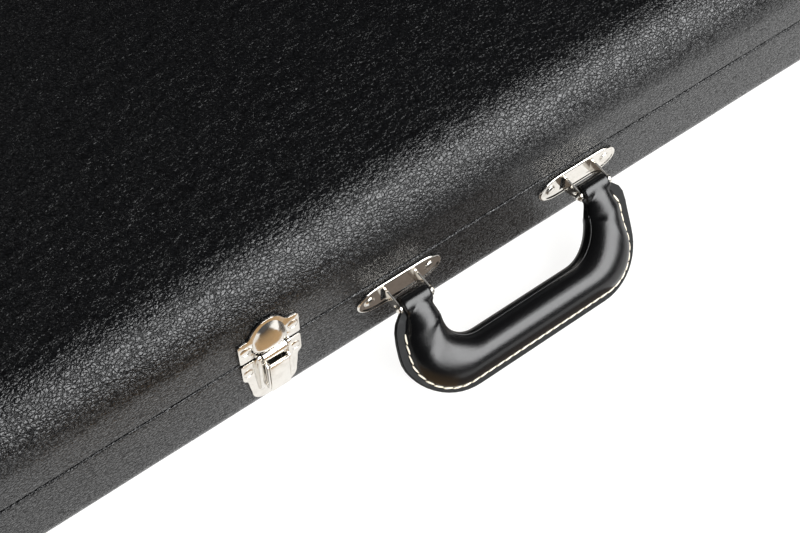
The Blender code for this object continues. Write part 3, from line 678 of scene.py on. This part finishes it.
def rivet(x, y, radius, low=PLATE_HIGH, rise=0.75 * MM):
    """A domed rivet head that stands in its own shallow ring."""
    ring = [(-0.4, 1.12), (0.1, 1.12), (0.16, 1.02), (0.04, 0.98), (0.10, 0.94)]
    levels = [(low + up * MM, radius * share) for up, share in ring]
    (up, share), dome = ring[-1], rise - ring[-1][0] * MM
    for tilt in range(15, 90, 15):
        angle = math.radians(tilt)
        levels.append((low + up * MM + dome * math.sin(angle), radius * share * math.cos(angle)))
    return domed("rivet", levels, (x, y), sides=32, smooth=50)


def latch_rivets(y):
    """The two low rivets of a latch plate, at a height on the wall."""
    return [rivet(side * LATCH_RIVET_X, y, LATCH_RIVET_RADIUS, rise=LATCH_RIVET_RISE) for side in SIDES]


def on_sides(outer, inner):
    """Pairs of x, from a smaller to a larger one, for two places mirrored about the middle."""
    return [tuple(sorted((side * outer, side * inner))) for side in SIDES]


def hood_arch(half, out, height, foot, bend, steps=40):
    """An arch at one height of the hood, from right to left. A small bend gives upright sides."""
    squareness = 2 / 2.4
    line = []
    for step in range(steps + 1):
        angle = math.pi * step / steps
        across = half * signed_power(math.cos(angle), squareness)
        line.append((across, height, foot + (out - foot) * max(math.sin(angle), 0) ** bend))
    return line


def hood_side(half, out, lip, top, foot):
    """One face of the hood, as arches from its lip to its top, steeper at the sides near the lip."""
    rings = []
    for tilt in spread(0, math.radians(88.5), 18):
        along, shrink = math.sin(tilt), math.cos(tilt)
        bend = 0.85 + 1.1 * along
        height = lip + (top - lip) * along
        rings.append(hood_arch(half * shrink, foot + (out - foot) * shrink ** 2, height, foot, bend))
    return rings


def hood():
    """The keeper's pressed hood: a hollow shell, open towards the seam, with a rolled lip."""
    foot, roll, thick = PLATE_HIGH - 0.5 * MM, 0.6 * MM, 0.9 * MM
    outer = []
    for turn in spread(0.0, math.pi / 2, 4)[:-1]:
        back = roll * (1 - math.sin(turn))
        height = HOOD_LIP + roll * (1 - math.cos(turn))
        outer.append(hood_arch(HOOD_HALF - back, HOOD_OUT - back, height, foot, 0.85))
    outer += hood_side(HOOD_HALF, HOOD_OUT, HOOD_LIP + roll, HOOD_TOP, foot)
    inner = hood_side(HOOD_HALF - thick, HOOD_OUT - thick, HOOD_LIP, HOOD_TOP - 1.5 * thick, foot)
    return loft("hood", outer + inner[::-1], smooth=50, loop=True)


def keeper_mesh():
    """The lid's half of a latch: a waisted plate with two ears, two slots beside the lip, and the hood."""
    ear, low = 16.7, 1.5
    right = curve_through([(0, 26.4), (2.6, 26.1), (5.0, 25.0), (6.9, 23.2), (8.4, 21.0), (9.8, 18.9),
                           (11.4, 17.7), (13.2, 17.5)], 4)
    right += arc((ear - 1.7, 15.5), 1.7, 84, 0, 7)
    right += arc((ear - 1.2, low + 1.2), 1.2, 0, -90, 5)
    plate = slab("plate", mm(mirrored(right)), PLATE_LOW, PLATE_HIGH)
    slots = [domed("slot", mm([(0, 1.2), (4, 1.2)]), mm((side * 8.6, 7.4)), sides=20) for side in SIDES]
    plate = softened(cut(plate, *slots), PLATE_EDGE)
    return joined("latch_keeper", [plate, hood(), *latch_rivets(10.4 * MM)], smooth=45)


def base_plate_mesh():
    """The base's half of a latch: a shaped plate with two folded ribs and the lever's stubs."""
    wing, top = 16.6, -0.4
    right = [(0, top), *arc((wing - 1.3, top - 1.3), 1.3, 90, 0, 5)]
    right += curve_through([(wing, -12.4), (16.0, -14.4), (14.5, -15.9), (13.9, -18.6), (13.6, -22.0),
                            (12.9, -27.0)], 4)
    right += [*arc((5.6, -28.6), (7.2, 8.0), -5, -90, 14), (0, -36.6)]
    plate = softened(slab("plate", mm(mirrored(right)), PLATE_LOW, PLATE_HIGH), PLATE_EDGE)
    foot, tip, clear = 0.9, 5.9, 1.8
    profile = mm([(-27.4, foot), (-27.2, 2.0), (-25.2, 3.7), (-21.5, 4.9), (-6, 5.4),
                  *arc((tip - 1.5, 3.9), 1.5, 90, 0, 6), (tip, clear), (top - 0.5, clear), (top - 0.5, foot)])
    shapes = [plate, *latch_rivets(-8.6 * MM)]
    shapes += [softened(bar("rib", profile, *span), 0.6 * MM) for span in on_sides(*RIB)]
    for ends in on_sides(LEVER_HALF - SHEET, RIB[0] + 1 * MM):
        shapes.append(turned("stub", [(x, STUB_RADIUS) for x in ends], LEVER_PIVOT, sides=20))
    return joined("latch_base_plate", shapes, smooth=45)


def lever_mesh():
    """The lever: a folded box, open at the back and top, with a round nose at its pivot."""
    nose = 1.9 * MM
    back = LEVER_PIVOT[1] - nose + 0.1 * MM
    (top, top_front), (bottom, bottom_front) = LEVER_TOP, LEVER_BOTTOM
    profile = [(top, top_front), *arc(LEVER_PIVOT, nose, 35, -90, 8), (-19.5 * MM, back), mm((-22.8, 3.2)),
               (bottom, 5.6 * MM), (bottom, bottom_front)]
    body = bar("lever", profile, -LEVER_HALF, LEVER_HALF)
    inner = LEVER_HALF - SHEET
    hollow = block("hollow", (-inner, inner), (bottom + SHEET, 5 * MM), (-1 * MM, bottom_front - SHEET))
    return softened(cut(body, hollow), 0.36 * MM)


def claw_mesh():
    """The claw: a bent strip with a bowed lower edge, on two arms that end in eyes."""
    low = 2.9
    front = [(6.1, low), (6.3, 3.6), (5.6, 5.3), (4.7, 6.1), (2.8, 6.4), (0.8, 6.5)]
    behind = [(0.7, 5.7), (2.7, 5.6), (4.2, 5.3), (4.9, 4.8), (5.4, 3.6), (5.3, low)]
    strip = bar("strip", mm(front + behind), -ARM[1], ARM[1])
    bow = [(-9, low), *arc((0, low), (6.0, 2.0), 180, 360, 24), (9, low), (9, -4), (-9, -4)]
    shapes = [softened(cut(strip, slab("bow", mm(bow), 2 * MM, 9 * MM)), 0.2 * MM, segments=2)]
    head = [(5.6, 3.1), (5.9, 3.8), (5.3, 5.1), (4.4, 5.8), (1.6, 6.2), (-0.6, 6.4), (-1.5, 8.3), (-17, 7.9)]
    back = [(-16.5, 3.2), (-4.9, 3.9), (-4.0, 5.4), (-1.0, 5.4), (-0.5, 4.2), (4.8, 3.1)]
    arm = [*mm(head), *arc(CLAW_PIVOT, 2.8 * MM, 80, 280, 16), *mm(back)]
    for span in on_sides(*ARM):
        shapes.append(softened(bar("arm", arm, *span), 0.2 * MM, segments=2))
    for ends in on_sides(LEVER_HALF - SHEET, ARM[1] + 0.2 * MM):
        shapes.append(turned("stub", [(x, STUB_RADIUS) for x in ends], CLAW_PIVOT, sides=20))
    return joined("latch_claw", shapes, smooth=45)


def shade_spring_mesh():
    """A near-black leaf spring behind the lever, put there as painted shade in the lever's hollow."""
    half, (top, bottom) = 4.9 * MM, mm((-1, -22))
    outline = [(-half, top), (-half, bottom), (half, bottom), (half, top)]
    return softened(slab("shade_spring", outline, PLATE_HIGH - 0.1 * MM, PLATE_HIGH + 0.45 * MM), 0.15 * MM)


def build_latches():
    """Five latches, each of four pieces that ride on their own bodies."""
    meshes = {"base_plate": base_plate_mesh(), "keeper": keeper_mesh(), "lever": lever_mesh(),
              "claw": claw_mesh()}
    spring = shade_spring_mesh()
    for name, turn in LATCHES.items():
        middle = middle_of(f"latch_{name}_base_plate")
        if turn:
            place = on_wall(math.copysign(LENGTH / 2, middle.x), middle.y, SEAM, turn)
        else:
            place = on_wall(middle.x, -WIDTH / 2, SEAM, turn)
        bodies = {"base_plate": "base", "keeper": "lid", "lever": f"lever_{name}", "claw": f"claw_{name}"}
        for part, mesh in meshes.items():
            finished(f"latch_{name}_{part}", mesh, NICKEL, bodies[part], place)
        # The near-black spring is painted shade in the hollow behind the lever.
        piece(f"latch_{name}_shade_spring", spring, SPRING_SHADE, "base", place=place)


# ---------------------------------------------------------------- the hinges


def hinge_leaf_mesh(side, spans):
    """One leaf of a hinge with its knuckles. Side is 1 for the lid's leaf and -1 for the base's."""
    near = side * 3.6 * MM + HINGE_AXIS[0]
    low, high = sorted((near, side * LEAF_REACH + HINGE_AXIS[0]))
    outline = []
    for turn, (side_x, side_y) in enumerate(((1, 1), (-1, 1), (-1, -1), (1, -1))):
        radius = mm(3 if (side_y > 0) == (side > 0) else 0.3)
        centre_y = high - radius if side_y > 0 else low + radius
        outline += arc((side_x * (HINGE_HALF - radius), centre_y), radius, 90 * turn, 90 * turn + 90, 5)
    shapes = [softened(slab("leaf", outline, PLATE_LOW, PLATE_HIGH), 0.25 * MM)]
    necks = sorted((HINGE_AXIS[0], near + side * 0.8 * MM))
    bore, edge = 1.75 * MM, 0.25 * MM
    for start, end in spans:
        neck = block("neck", (start + 0.1 * MM, end - 0.1 * MM), necks, mm((0.45, 1.4)))
        shapes.append(softened(neck, 0.2 * MM, segments=2))
        levels = [(start, bore), (start, BARREL_RADIUS - edge), (start + edge, BARREL_RADIUS),
                  (end - edge, BARREL_RADIUS), (end, BARREL_RADIUS - edge), (end, bore)]
        shapes.append(turned("knuckle", levels, HINGE_AXIS, sides=36, smooth=30, loop=True))
    shapes += [rivet(x, side * 11 * MM, 2.7 * MM) for x in mm((-13, 13))]
    return joined("hinge_leaf", shapes, smooth=40)


def pin_mesh(radius, head, half, centre):
    """A pin along x with a peened head at each end."""
    peen = [(0, 0.92), (0.25, 1), (0.6, 0.86), (0.88, 0.55), (1, 0.2)]
    right = [(half, radius), *((half + along * PIN_HEAD_LENGTH, head * share) for along, share in peen)]
    levels = [(-x, r) for x, r in reversed(right)] + right
    return turned("pin", levels, centre, sides=28, smooth=50)


def build_hinges():
    """Three hinges on the rear wall."""
    split = BARREL_SPLIT + PIN_PLAY
    outer = [(-HINGE_HALF, -split), (split, HINGE_HALF)]
    pin = pin_mesh(1.4 * MM, 2.3 * MM, HINGE_HALF + PIN_PLAY, HINGE_AXIS)
    parts = {"base_leaf": (hinge_leaf_mesh(-1, outer), "base"), "pin": (pin, "base"),
             "lid_leaf": (hinge_leaf_mesh(1, [(-BARREL_SPLIT, BARREL_SPLIT)]), "lid")}
    for name in ("left", "middle", "right"):
        place = on_wall(middle_of(f"hinge_{name}_pin").x, WIDTH / 2, SEAM, 180)
        for part, (mesh, body) in parts.items():
            finished(f"hinge_{name}_{part}", mesh, NICKEL, body, place)


# ---------------------------------------------------------------- the handle


def plate_outline(inset, steps=22):
    """A handle plate's outline: straight above and below, with elliptical ends."""
    half, rise, straight = 25.67 * MM - inset, 8.6 * MM - inset, 12.5 * MM
    right = arc((straight, 0), (half - straight, rise), -90, 90, steps)
    return right + [(-x, -y) for x, y in right]


def handle_plate_mesh():
    """The pressed plate: a rolled rim, a flat face with two slots, and two rivets."""
    low, face = 0.3, 0.58
    levels = mm([(1.1, low), (0.15, low), (0, 0.5), (0.08, 0.8), (0.35, 1.1), (0.75, 1.28), (1.15, 1.28),
                 (1.5, 1.08), (1.75, 0.8), (2.1, 0.62), (2.8, face)])
    plate = loft("plate", [[(x, y, z) for x, y in plate_outline(inset)] for inset, z in levels], smooth=40)
    slots = [block("slot", (x - 2.2 * MM, x + 1.0 * MM), mm((-5, 5)), mm((0, 4))) for x in EAR_PLACES]
    rivets = [rivet(side * 18.2 * MM, 0, 2.9 * MM, mm(face), 1.0 * MM) for side in SIDES]
    return joined("handle_plate", [cut(plate, *slots), *rivets], smooth=40)


def handle_bracket_mesh():
    """The bracket: a web behind the plate and two ears with round ends and a bore each."""
    web = block("web", EAR_PLACES, mm((-4.8, 4.8)), (PLATE_LOW, 0.45 * MM))
    foot, waist = [(4.8 * MM, PLATE_LOW), mm((4.8, 4.5))], 8.5 * MM
    profile = [(-foot[0][0], PLATE_LOW), mm((-4.8, 4.5)), (-3.6 * MM, waist),
               *arc(HANDLE_AXIS, 3.1 * MM, 190, -10, 16), (4.6 * MM, waist), *reversed(foot)]
    half = EAR_THICKNESS / 2
    bore = turned("bore", mm([(-12, 1.8), (12, 1.8)]), HANDLE_AXIS, sides=28)
    ears = [softened(cut(bar("ear", profile, x - half, x + half), bore), 0.2 * MM, segments=2)
            for x in EAR_PLACES]
    return joined("handle_bracket", [web, *ears], smooth=40)


def lean(along):
    """How far the soft handle leans sideways at a distance from its pins."""
    return -ease(along, 0, LEAN_END) * LEAN


def thickness(along):
    """Half the grip's thickness at a distance from its pins: thin at the loops and full in the hand."""
    return LOOP_RADIUS + (GRIP_THICK - LOOP_RADIUS) * ease(along, 1 * MM, 27 * MM)


def rounded_leg(leg, reach, corner, side, steps):
    """Stations of one half of a contour, from a pin's side to the grip's middle, as (x, s)."""
    centre = (leg - corner, reach - corner)
    line = [(leg, s) for s in spread(14 * MM, centre[1], 3)[:-1]]
    line += arc(centre, corner, 0, 90, steps)
    line += [(x, reach) for x in spread(leg - corner, 0, 7)[1:]]
    return [(side * x, s) for x, s in line]


def half_contours(side):
    """Matching inner and outer stations of one half of the grip."""
    inner = rounded_leg(LEG_INSIDE, GRIP_INSIDE, INSIDE_CORNER, side, 12)
    outer = rounded_leg(LEG_OUTSIDE, GRIP_OUTSIDE, OUTSIDE_CORNER, side, 12)
    start = mm([(0, 7.7), (3, 7.9), (6, 8.3), (8.5, 9.2), (11, 10.1)])
    root_in = [(side * (BRACKET_SPREAD - half), s) for s, half in start]
    root_out = [(side * (BRACKET_SPREAD + half), s) for s, half in start]
    return root_in + inner, root_out + outer


def grip_contours():
    """Inner and outer stations of the whole grip, from the right pin to the left, with its lean."""
    right_in, right_out = half_contours(1)
    left_in, left_out = half_contours(-1)
    inner = right_in + left_in[-2::-1]
    outer = right_out + left_out[-2::-1]
    moved = []
    for line in (inner, outer):
        moved.append([Vector((x + lean(s), s)) for x, s in line])
    return moved


def grip_body():
    """The padded body of the handle as a loft of round sections."""
    rings = []
    for inside, outside in zip(*grip_contours()):
        centre, across = (inside + outside) / 2, (outside - inside) / 2
        thick = thickness(centre.y)
        ring = []
        for step in range(40):
            angle = 2 * math.pi * step / 40
            place = centre + across * math.cos(angle)
            ring.append((place.x, place.y, thick * math.sin(angle)))
        rings.append(ring)
    return loft("grip_body", rings)


def loop_body(x):
    """The leather turned over a pin, a squarish roll with soft ends."""
    rings = []
    for along, shrink in ((-1, 0.86), (-0.93, 0.96), (-0.8, 1), (0.8, 1), (0.93, 0.96), (1, 0.86)):
        radius = LOOP_RADIUS * shrink
        ring = []
        for step in range(32):
            angle = 2 * math.pi * step / 32
            across, rise = signed_power(math.cos(angle), 0.85), signed_power(math.sin(angle), 0.85)
            ring.append((x + along * LOOP_HALF, radius * across, radius * rise))
        rings.append(ring)
    return loft("loop", rings)


def flange_line(steps=14):
    """The outer edge of the flange, from the right pin to the left, as (x, s)."""
    centre = (FLANGE_X - FLANGE_CORNER, FLANGE_S - FLANGE_CORNER)
    start = BRACKET_SPREAD + LOOP_HALF
    taper = [(start - 0.8 * MM, 0.5 * MM), (start + 2.6 * MM, 2.8 * MM), (FLANGE_X - 2.2 * MM, 6 * MM),
             (FLANGE_X - 0.6 * MM, 9.5 * MM)]
    right = taper + [(FLANGE_X, s) for s in spread(14.5 * MM, centre[1], 4)[:-1]]
    right += arc(centre, FLANGE_CORNER, 0, 90, steps)
    right += [(x, FLANGE_S) for x in spread(centre[0], 0, 8)[1:]]
    whole = right + [(-x, s) for x, s in right[-2::-1]]
    return [Vector((x + lean(s), s)) for x, s in whole]


def grip_middle_line():
    """The middle of the padded body, station by station."""
    inner, outer = grip_contours()
    return [(a + b) / 2 for a, b in zip(inner, outer)]


def flange_body():
    """The flat leather flange, from inside the padded body to its cut edge."""
    edge = flange_line()
    middle = grip_middle_line()
    rings = []
    for place in edge:
        root = min(middle, key=lambda point: (point - place).length)
        inward = (root - place).normalized()
        inside = place + inward * ((root - place).length * 0.8)
        face = [(place + inward * along * MM, rise) for along, rise in ((0, 0.75), (0.35, 1), (1.6, 1.02))]
        face.append((inside, 1))
        ring = [(at.x, at.y, rise * FLANGE_HALF) for at, rise in face]
        rings.append(ring + [(x, y, -z) for x, y, z in reversed(ring)])
    return loft("flange", rings, smooth=40)


def stitch_line():
    """The stitch line at the foot of the padded body, right to left, evenly spaced."""
    outer = grip_contours()[1][3:-3]
    fine = [Vector(point) for point in curve_through([tuple(point) for point in outer], 12)]
    line, carried = [fine[0]], 0.0
    for before, after in zip(fine, fine[1:]):
        step = (after - before).length
        carried += step
        if carried >= 0.35 * MM:
            line.append(after)
            carried = 0.0
    return line


def handle_to_world():
    """From the handle's plane (x, s, up out of its face) to the row frame."""
    pin = (middle_of("handle_pin_left") + middle_of("handle_pin_right")) / 2
    turn = Matrix.Rotation(HANDLE_DROOP, 4, "X") @ Matrix.Scale(-1, 4, (0, 1, 0))
    return Matrix.Translation(pin) @ turn


def handle_cover_mesh():
    """The body, both loops and the flange's root run together and smoothed, as stretched leather is."""
    shapes = [grip_body(), loop_body(-BRACKET_SPREAD), loop_body(BRACKET_SPREAD), flange_root()]
    whole = joined("handle_cover", shapes)
    return shaded(resurfaced(whole, 0.62 * MM, 7), 60)


def flange_root():
    """A thin strip under the stitches that the smoothing draws the body's skin down to."""
    rings = []
    inner, outer = grip_contours()
    for inside, outside in list(zip(inner, outer))[2:-2]:
        outward = (outside - inside).normalized()
        face = [(outside + outward * 1.3 * MM, 1.5 * MM), (outside - outward * 4 * MM, 2.6 * MM)]
        ring = [(at.x, at.y, height) for at, height in face]
        rings.append(ring + [(x, y, -z) for x, y, z in reversed(ring)])
    return loft("flange_root", rings)


def stitches_mesh(tree):
    """Slanted stitches on both faces of the flange, each an end-tapered roll sunk into the leather."""
    line = stitch_line()
    lengths = [0.0]
    for before, after in zip(line, line[1:]):
        lengths.append(lengths[-1] + (after - before).length)
    shapes = []
    count = int(lengths[-1] / STITCH_PITCH)
    for face in (1, -1):
        for number in range(count):
            start = number * STITCH_PITCH + (0 if face > 0 else STITCH_PITCH / 2)
            shapes.append(one_stitch(line, lengths, start, face, tree))
    return joined("handle_stitches", shapes, smooth=60)


def along_line(line, lengths, distance):
    """The point and the direction of a line at a distance along it."""
    index = int(np.searchsorted(lengths, distance))
    index = min(max(index, 1), len(line) - 1)
    before, after = line[index - 1], line[index]
    share = (distance - lengths[index - 1]) / max(lengths[index] - lengths[index - 1], 1e-9)
    return before.lerp(after, share), (after - before).normalized()


def one_stitch(line, lengths, start, face, tree):
    """One stitch between two needle holes."""
    rings = []
    for step in range(9):
        share = step / 8
        place, run = along_line(line, lengths, start + STITCH_LENGTH * share)
        outward = Vector((run.y, -run.x)) * (1 if run.x < 0 else 1)
        place = place + outward * (share - 0.5) * 0.55 * MM
        hit = tree.ray_cast(Vector((place.x, place.y, face * 30 * MM)), Vector((0, 0, -face)))[0]
        height = hit.z if hit is not None else face * FLANGE_HALF
        bulge = math.sin(math.pi * share) ** 0.35
        radius = STITCH_RADIUS * (0.35 + 0.65 * bulge)
        height += face * (0.28 * MM * bulge - 0.15 * MM)
        ring = arc((0, height), (radius, radius * 0.8), 0, 360, 10)[:-1]
        rings.append([(place.x + outward.x * u, place.y + outward.y * u, v) for u, v in ring])
    return loft("stitch", rings)


def inner_welt():
    """The folded edge of the leather that shows as a fine ridge inside the grip."""
    rings = []
    inner, outer = grip_contours()
    for inside, outside in list(zip(inner, outer))[4:-4]:
        centre, across = (inside + outside) / 2, (outside - inside) / 2
        thick = thickness(centre.y)
        angle = math.radians(158)
        place = centre + across * math.cos(angle)
        height = thick * math.sin(angle)
        flat = Vector((across.x, across.y, 0)).normalized()
        outward = flat * math.cos(angle) + Vector((0, 0, math.sin(angle)))
        seat = Vector((place.x, place.y, height)) - outward * 0.35 * MM
        ring = arc((0, 0), WELT_RADIUS, 0, 360, 10)[:-1]
        rings.append([seat + flat * u + Vector((0, 0, v)) for u, v in ring])
    return loft("welt", rings, smooth=60)


def build_handle():
    """The leather handle with its stitches, and the plates, brackets and pins it hangs from."""
    to_world = handle_to_world()
    cover = handle_cover_mesh()
    faces = [face.vertices[:] for face in cover.polygons]
    tree = BVHTree.FromPolygons([vertex.co.copy() for vertex in cover.vertices], faces)
    grip = piece("handle_cover", cover, LEATHER, "handle", ["handle_grip"], to_world)
    piece("handle_flange", flange_body(), FLANGE, "handle", place=to_world)
    piece("handle_welt", inner_welt(), LEATHER, "handle", place=to_world)
    piece("handle_stitches", stitches_mesh(tree), THREAD, "handle", place=to_world)
    plate, bracket = handle_plate_mesh(), handle_bracket_mesh()
    pin = pin_mesh(1.5 * MM, 2.4 * MM, EAR_CENTRE + EAR_THICKNESS / 2 + PIN_PLAY, HANDLE_AXIS)
    for side in ("left", "right"):
        middle = middle_of(f"handle_plate_{side}")
        place = on_wall(middle.x, -WIDTH / 2, middle.z, 0)
        for part, mesh in (("plate", plate), ("bracket", bracket), ("pin", pin)):
            finished(f"handle_{part}_{side}", mesh, NICKEL, "base", place)


# ---------------------------------------------------------------- inside and feet


def plush_mesh(nodes, voxel, rounds):
    """CAD blocks run together, with soft edges and a slightly uneven face."""
    mesh = joined(nodes[0], [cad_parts[node].data for node in nodes])
    mesh = resurfaced(mesh, voxel, rounds)
    uneven(mesh, 0, len(mesh.vertices), 0.25 * MM)
    return shaded(mesh, 60)


def ribbon_tab_mesh():
    """The lifting tab: a ribbon folded double, with a tight loop at its free end."""
    low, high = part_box("accessory_tab")
    thick, radius = 0.3 * MM, (high.z - low.z) / 2
    centre = (low.y + radius, low.z + radius)
    outer = [(high.y, high.z), *arc(centre, radius, 90, 270, 10), (high.y, low.z)]
    inner = [(high.y, low.z + thick), *arc(centre, radius - thick, 270, 90, 10), (high.y, high.z - thick)]
    return bar("ribbon", outer + inner, low.x, high.x)


def panel_pin_mesh():
    """The pin that the accessory panel turns on, with chamfered ends."""
    low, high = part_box("accessory_pin")
    radius, chamfer = (high.z - low.z) / 2, 0.3 * MM
    levels = [(low.x, radius - chamfer), (low.x + chamfer, radius), (high.x - chamfer, radius),
              (high.x, radius - chamfer)]
    return turned("panel_pin", levels, middle_of("accessory_pin").yz)


def build_inside():
    """The padded plush pieces, the accessory box with its panel, and the wooden rim."""
    soft_pieces = [("mould", "base", 2.6, 4), ("neck_cradle", "base", 1.2, 4), ("floor_pad", "base", 3.0, 3),
                   ("lid_liner", "lid", 2.0, 2), ("accessory_box", "base", 1.0, 2),
                   ("accessory_panel", "accessory_panel", 0.8, 2)]
    for name, body, voxel, rounds in soft_pieces:
        nodes = MOULD_BLOCKS if name == "mould" else [name]
        mesh = plush_mesh(nodes, mm(voxel), rounds)
        soft = piece(f"{name}_plush", mesh, PLUSH, body, nodes)
    piece("tab_ribbon", ribbon_tab_mesh(), RIBBON, "accessory_panel", ["accessory_tab"])
    piece("panel_pin", panel_pin_mesh(), NICKEL, "base", ["accessory_pin"])
    rim = softened(joined("rim", [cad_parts["seam_tongue"].data]), 0.5 * MM)
    piece("seam_rim", rim, WOOD, "base", ["seam_tongue"])
    repaint("handle_core", STEEL)


def repaint(node, material):
    """Gives a CAD node that stays its finished material."""
    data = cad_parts[node].data
    data.materials.clear()
    data.materials.append(material)


def build_feet():
    """Rubber feet on the rear wall: ribbed cups with a screw in each."""
    levels = mm([(0.3, 8), (1.2, 8), (1.5, 7.7), (5.2, 7.5), (7.6, 7.0), (8.7, 6.2), (9, 5.2), (8.6, 4.4),
                 (6.5, 4.0)])
    rubber = domed("foot", levels, (0, 0), sides=48, smooth=40)
    screw_levels = mm([(6.3, 3.0), (6.9, 3.0), (7.3, 2.4), (7.5, 1.2)])
    screw = domed("screw", screw_levels, (0, 0), sides=32, smooth=40)
    long, narrow, deep = mm((-2.2, 2.2)), mm((-0.35, 0.35)), mm((6.9, 9))
    screw = cut(screw, block("slot", long, narrow, deep), block("slot", narrow, long, deep))
    for body in ("base", "lid"):
        for side in ("left", "right"):
            node = f"foot_{body}_{side}"
            middle = middle_of(node)
            place = on_wall(middle.x, WIDTH / 2, middle.z, 180)
            finished(node, rubber, RUBBER, body, place)
            piece(f"{node}_screw", screw, NICKEL, body, place=place)


# ---------------------------------------------------------------- the studio


def build_camera():
    """The camera, at the angle from which the case is seen."""
    data = bpy.data.cameras.new("camera")
    data.lens = CAMERA_LENS
    data.sensor_width = 36
    data.clip_start, data.clip_end = 0.01, 50
    camera = placed("camera", data)
    camera.location = CAMERA_PLACE
    camera.rotation_euler = (math.pi / 2 - CAMERA_DOWN, 0, -CAMERA_HEADING)
    bpy.context.scene.camera = camera


def build_floor():
    """A wide white table top that glows a little, so that the light round the case is even."""
    made = Shader("white_table", (0.16, 0.16, 0.16), 0.6, Specular_IOR_Level=0.2)
    made.set("Emission Color", (1, 0.995, 0.985, 1))
    made.set("Emission Strength", 0.93)
    reach = 6.0
    mesh = sheet("floor", (-reach, reach), (-reach, reach))
    if mesh.polygons[0].normal.z < 0:
        mesh.flip_normals()
    mesh.materials.append(made.material)
    floor = placed("floor", mesh)
    floor.location.z = -0.1 * MM


def build_world():
    """Pale where it is seen, and a dark warm room where it is only reflected."""
    world = bpy.data.worlds.new("studio")
    world.use_nodes = True
    tree = world.node_tree
    bpy.context.scene.world = world
    apart = tree.nodes.new("ShaderNodeSeparateXYZ")
    tree.links.new(tree.nodes.new("ShaderNodeTexCoord").outputs["Generated"], apart.inputs[0])
    ramp = tree.nodes.new("ShaderNodeValToRGB")
    stops = [(0.0, (0.05, 0.048, 0.047)), (0.08, (0.045, 0.044, 0.045)), (0.2, (0.035, 0.035, 0.037)),
             (0.5, (0.028, 0.028, 0.03)), (0.8, (0.03, 0.03, 0.032))]
    while len(ramp.color_ramp.elements) < len(stops):
        ramp.color_ramp.elements.new(0.5)
    for element, (position, colour) in zip(ramp.color_ramp.elements, stops):
        element.position = position
        element.color = (*colour, 1)
    tree.links.new(apart.outputs["Z"], ramp.inputs[0])
    mix = tree.nodes.new("ShaderNodeMix")
    mix.data_type = "RGBA"
    tree.links.new(tree.nodes.new("ShaderNodeLightPath").outputs["Is Camera Ray"], mix.inputs[0])
    tree.links.new(ramp.outputs[0], mix.inputs[6])
    mix.inputs[7].default_value = (1, 1, 1, 1)
    tree.links.new(mix.outputs[2], tree.nodes["Background"].inputs[0])


def softbox(name, direction, distance, size, radiance, colour=(1, 1, 1), target=(0, 0, 0.08)):
    """A rectangular light at a direction and distance from the case, facing it."""
    light = bpy.data.lights.new(name, "AREA")
    light.shape = "RECTANGLE"
    light.size, light.size_y = size
    light.energy = radiance * math.pi * size[0] * size[1]
    light.color = colour
    obj = placed(name, light)
    away = Vector(direction).normalized()
    obj.location = Vector(target) + away * distance
    obj.rotation_mode = "QUATERNION"
    obj.rotation_quaternion = away.to_track_quat("Z", "Y")
    obj.visible_camera = False


def build_lights():
    """One large softbox in front and above, and a weak one behind."""
    softbox("key", (0.33, -0.735, 0.59), 1.7, (2.3, 1.08), 10.2, (0.985, 0.995, 1.0))
    softbox("behind", (-0.2, 0.95, 0.35), 2.6, (2.2, 0.8), 0.6)


def reflected_card(name, x, y, near, far):
    """A glowing sheet just over the table that only shows in reflections, a painted reflection, shaded from
    near to far.
    """
    made = Shader(name, (0, 0, 0), 1.0, Specular_IOR_Level=0.0)
    where = made.node("ShaderNodeTexCoord").outputs["Generated"]
    along = made.node("ShaderNodeSeparateXYZ", {0: where}).outputs[1]
    made.drive("Emission Color", made.mix(made.mapped(along, 0.0, 1.0), far, near))
    made.set("Emission Strength", 1.0)
    mesh = sheet(name, x, y)
    mesh.materials.append(made.material)
    card = placed(name, mesh)
    card.location.z = 1 * MM
    card.visible_camera = False
    card.visible_diffuse = False
    card.visible_shadow = False


def build_cards():
    """Painted reflections of the room for metal and vinyl to mirror, as glowing sheets: warm wood by the
    middle latch, the handle's shadow on the table as painted shadow, and the dark beyond.
    """
    # Painted reflection of warm wood, seen in the middle latch's metal and in the vinyl.
    reflected_card("warm_card", (-0.20, -0.02), (-0.46, -0.23), (0.60, 0.40, 0.21), (0.08, 0.066, 0.056))
    # Painted shadow: a dim sheet where the handle's shadow falls on the table, seen in the wall's reflection.
    reflected_card("shade_card", (-0.03, 0.085), (-0.27, -0.187), (0.20, 0.17, 0.15), (0.26, 0.22, 0.19))
    # Painted reflection of the dark room beyond the table.
    reflected_card("dark_card", (-3.0, 3.0), (-4.0, -0.46), (0.10, 0.10, 0.105), (0.02, 0.02, 0.022))


build_camera()
build_shells()
build_latches()
build_hinges()
build_handle()
build_inside()
build_feet()
build_floor()
build_world()
build_lights()
build_cards()
bpy.context.scene.view_settings.view_transform = "Standard"
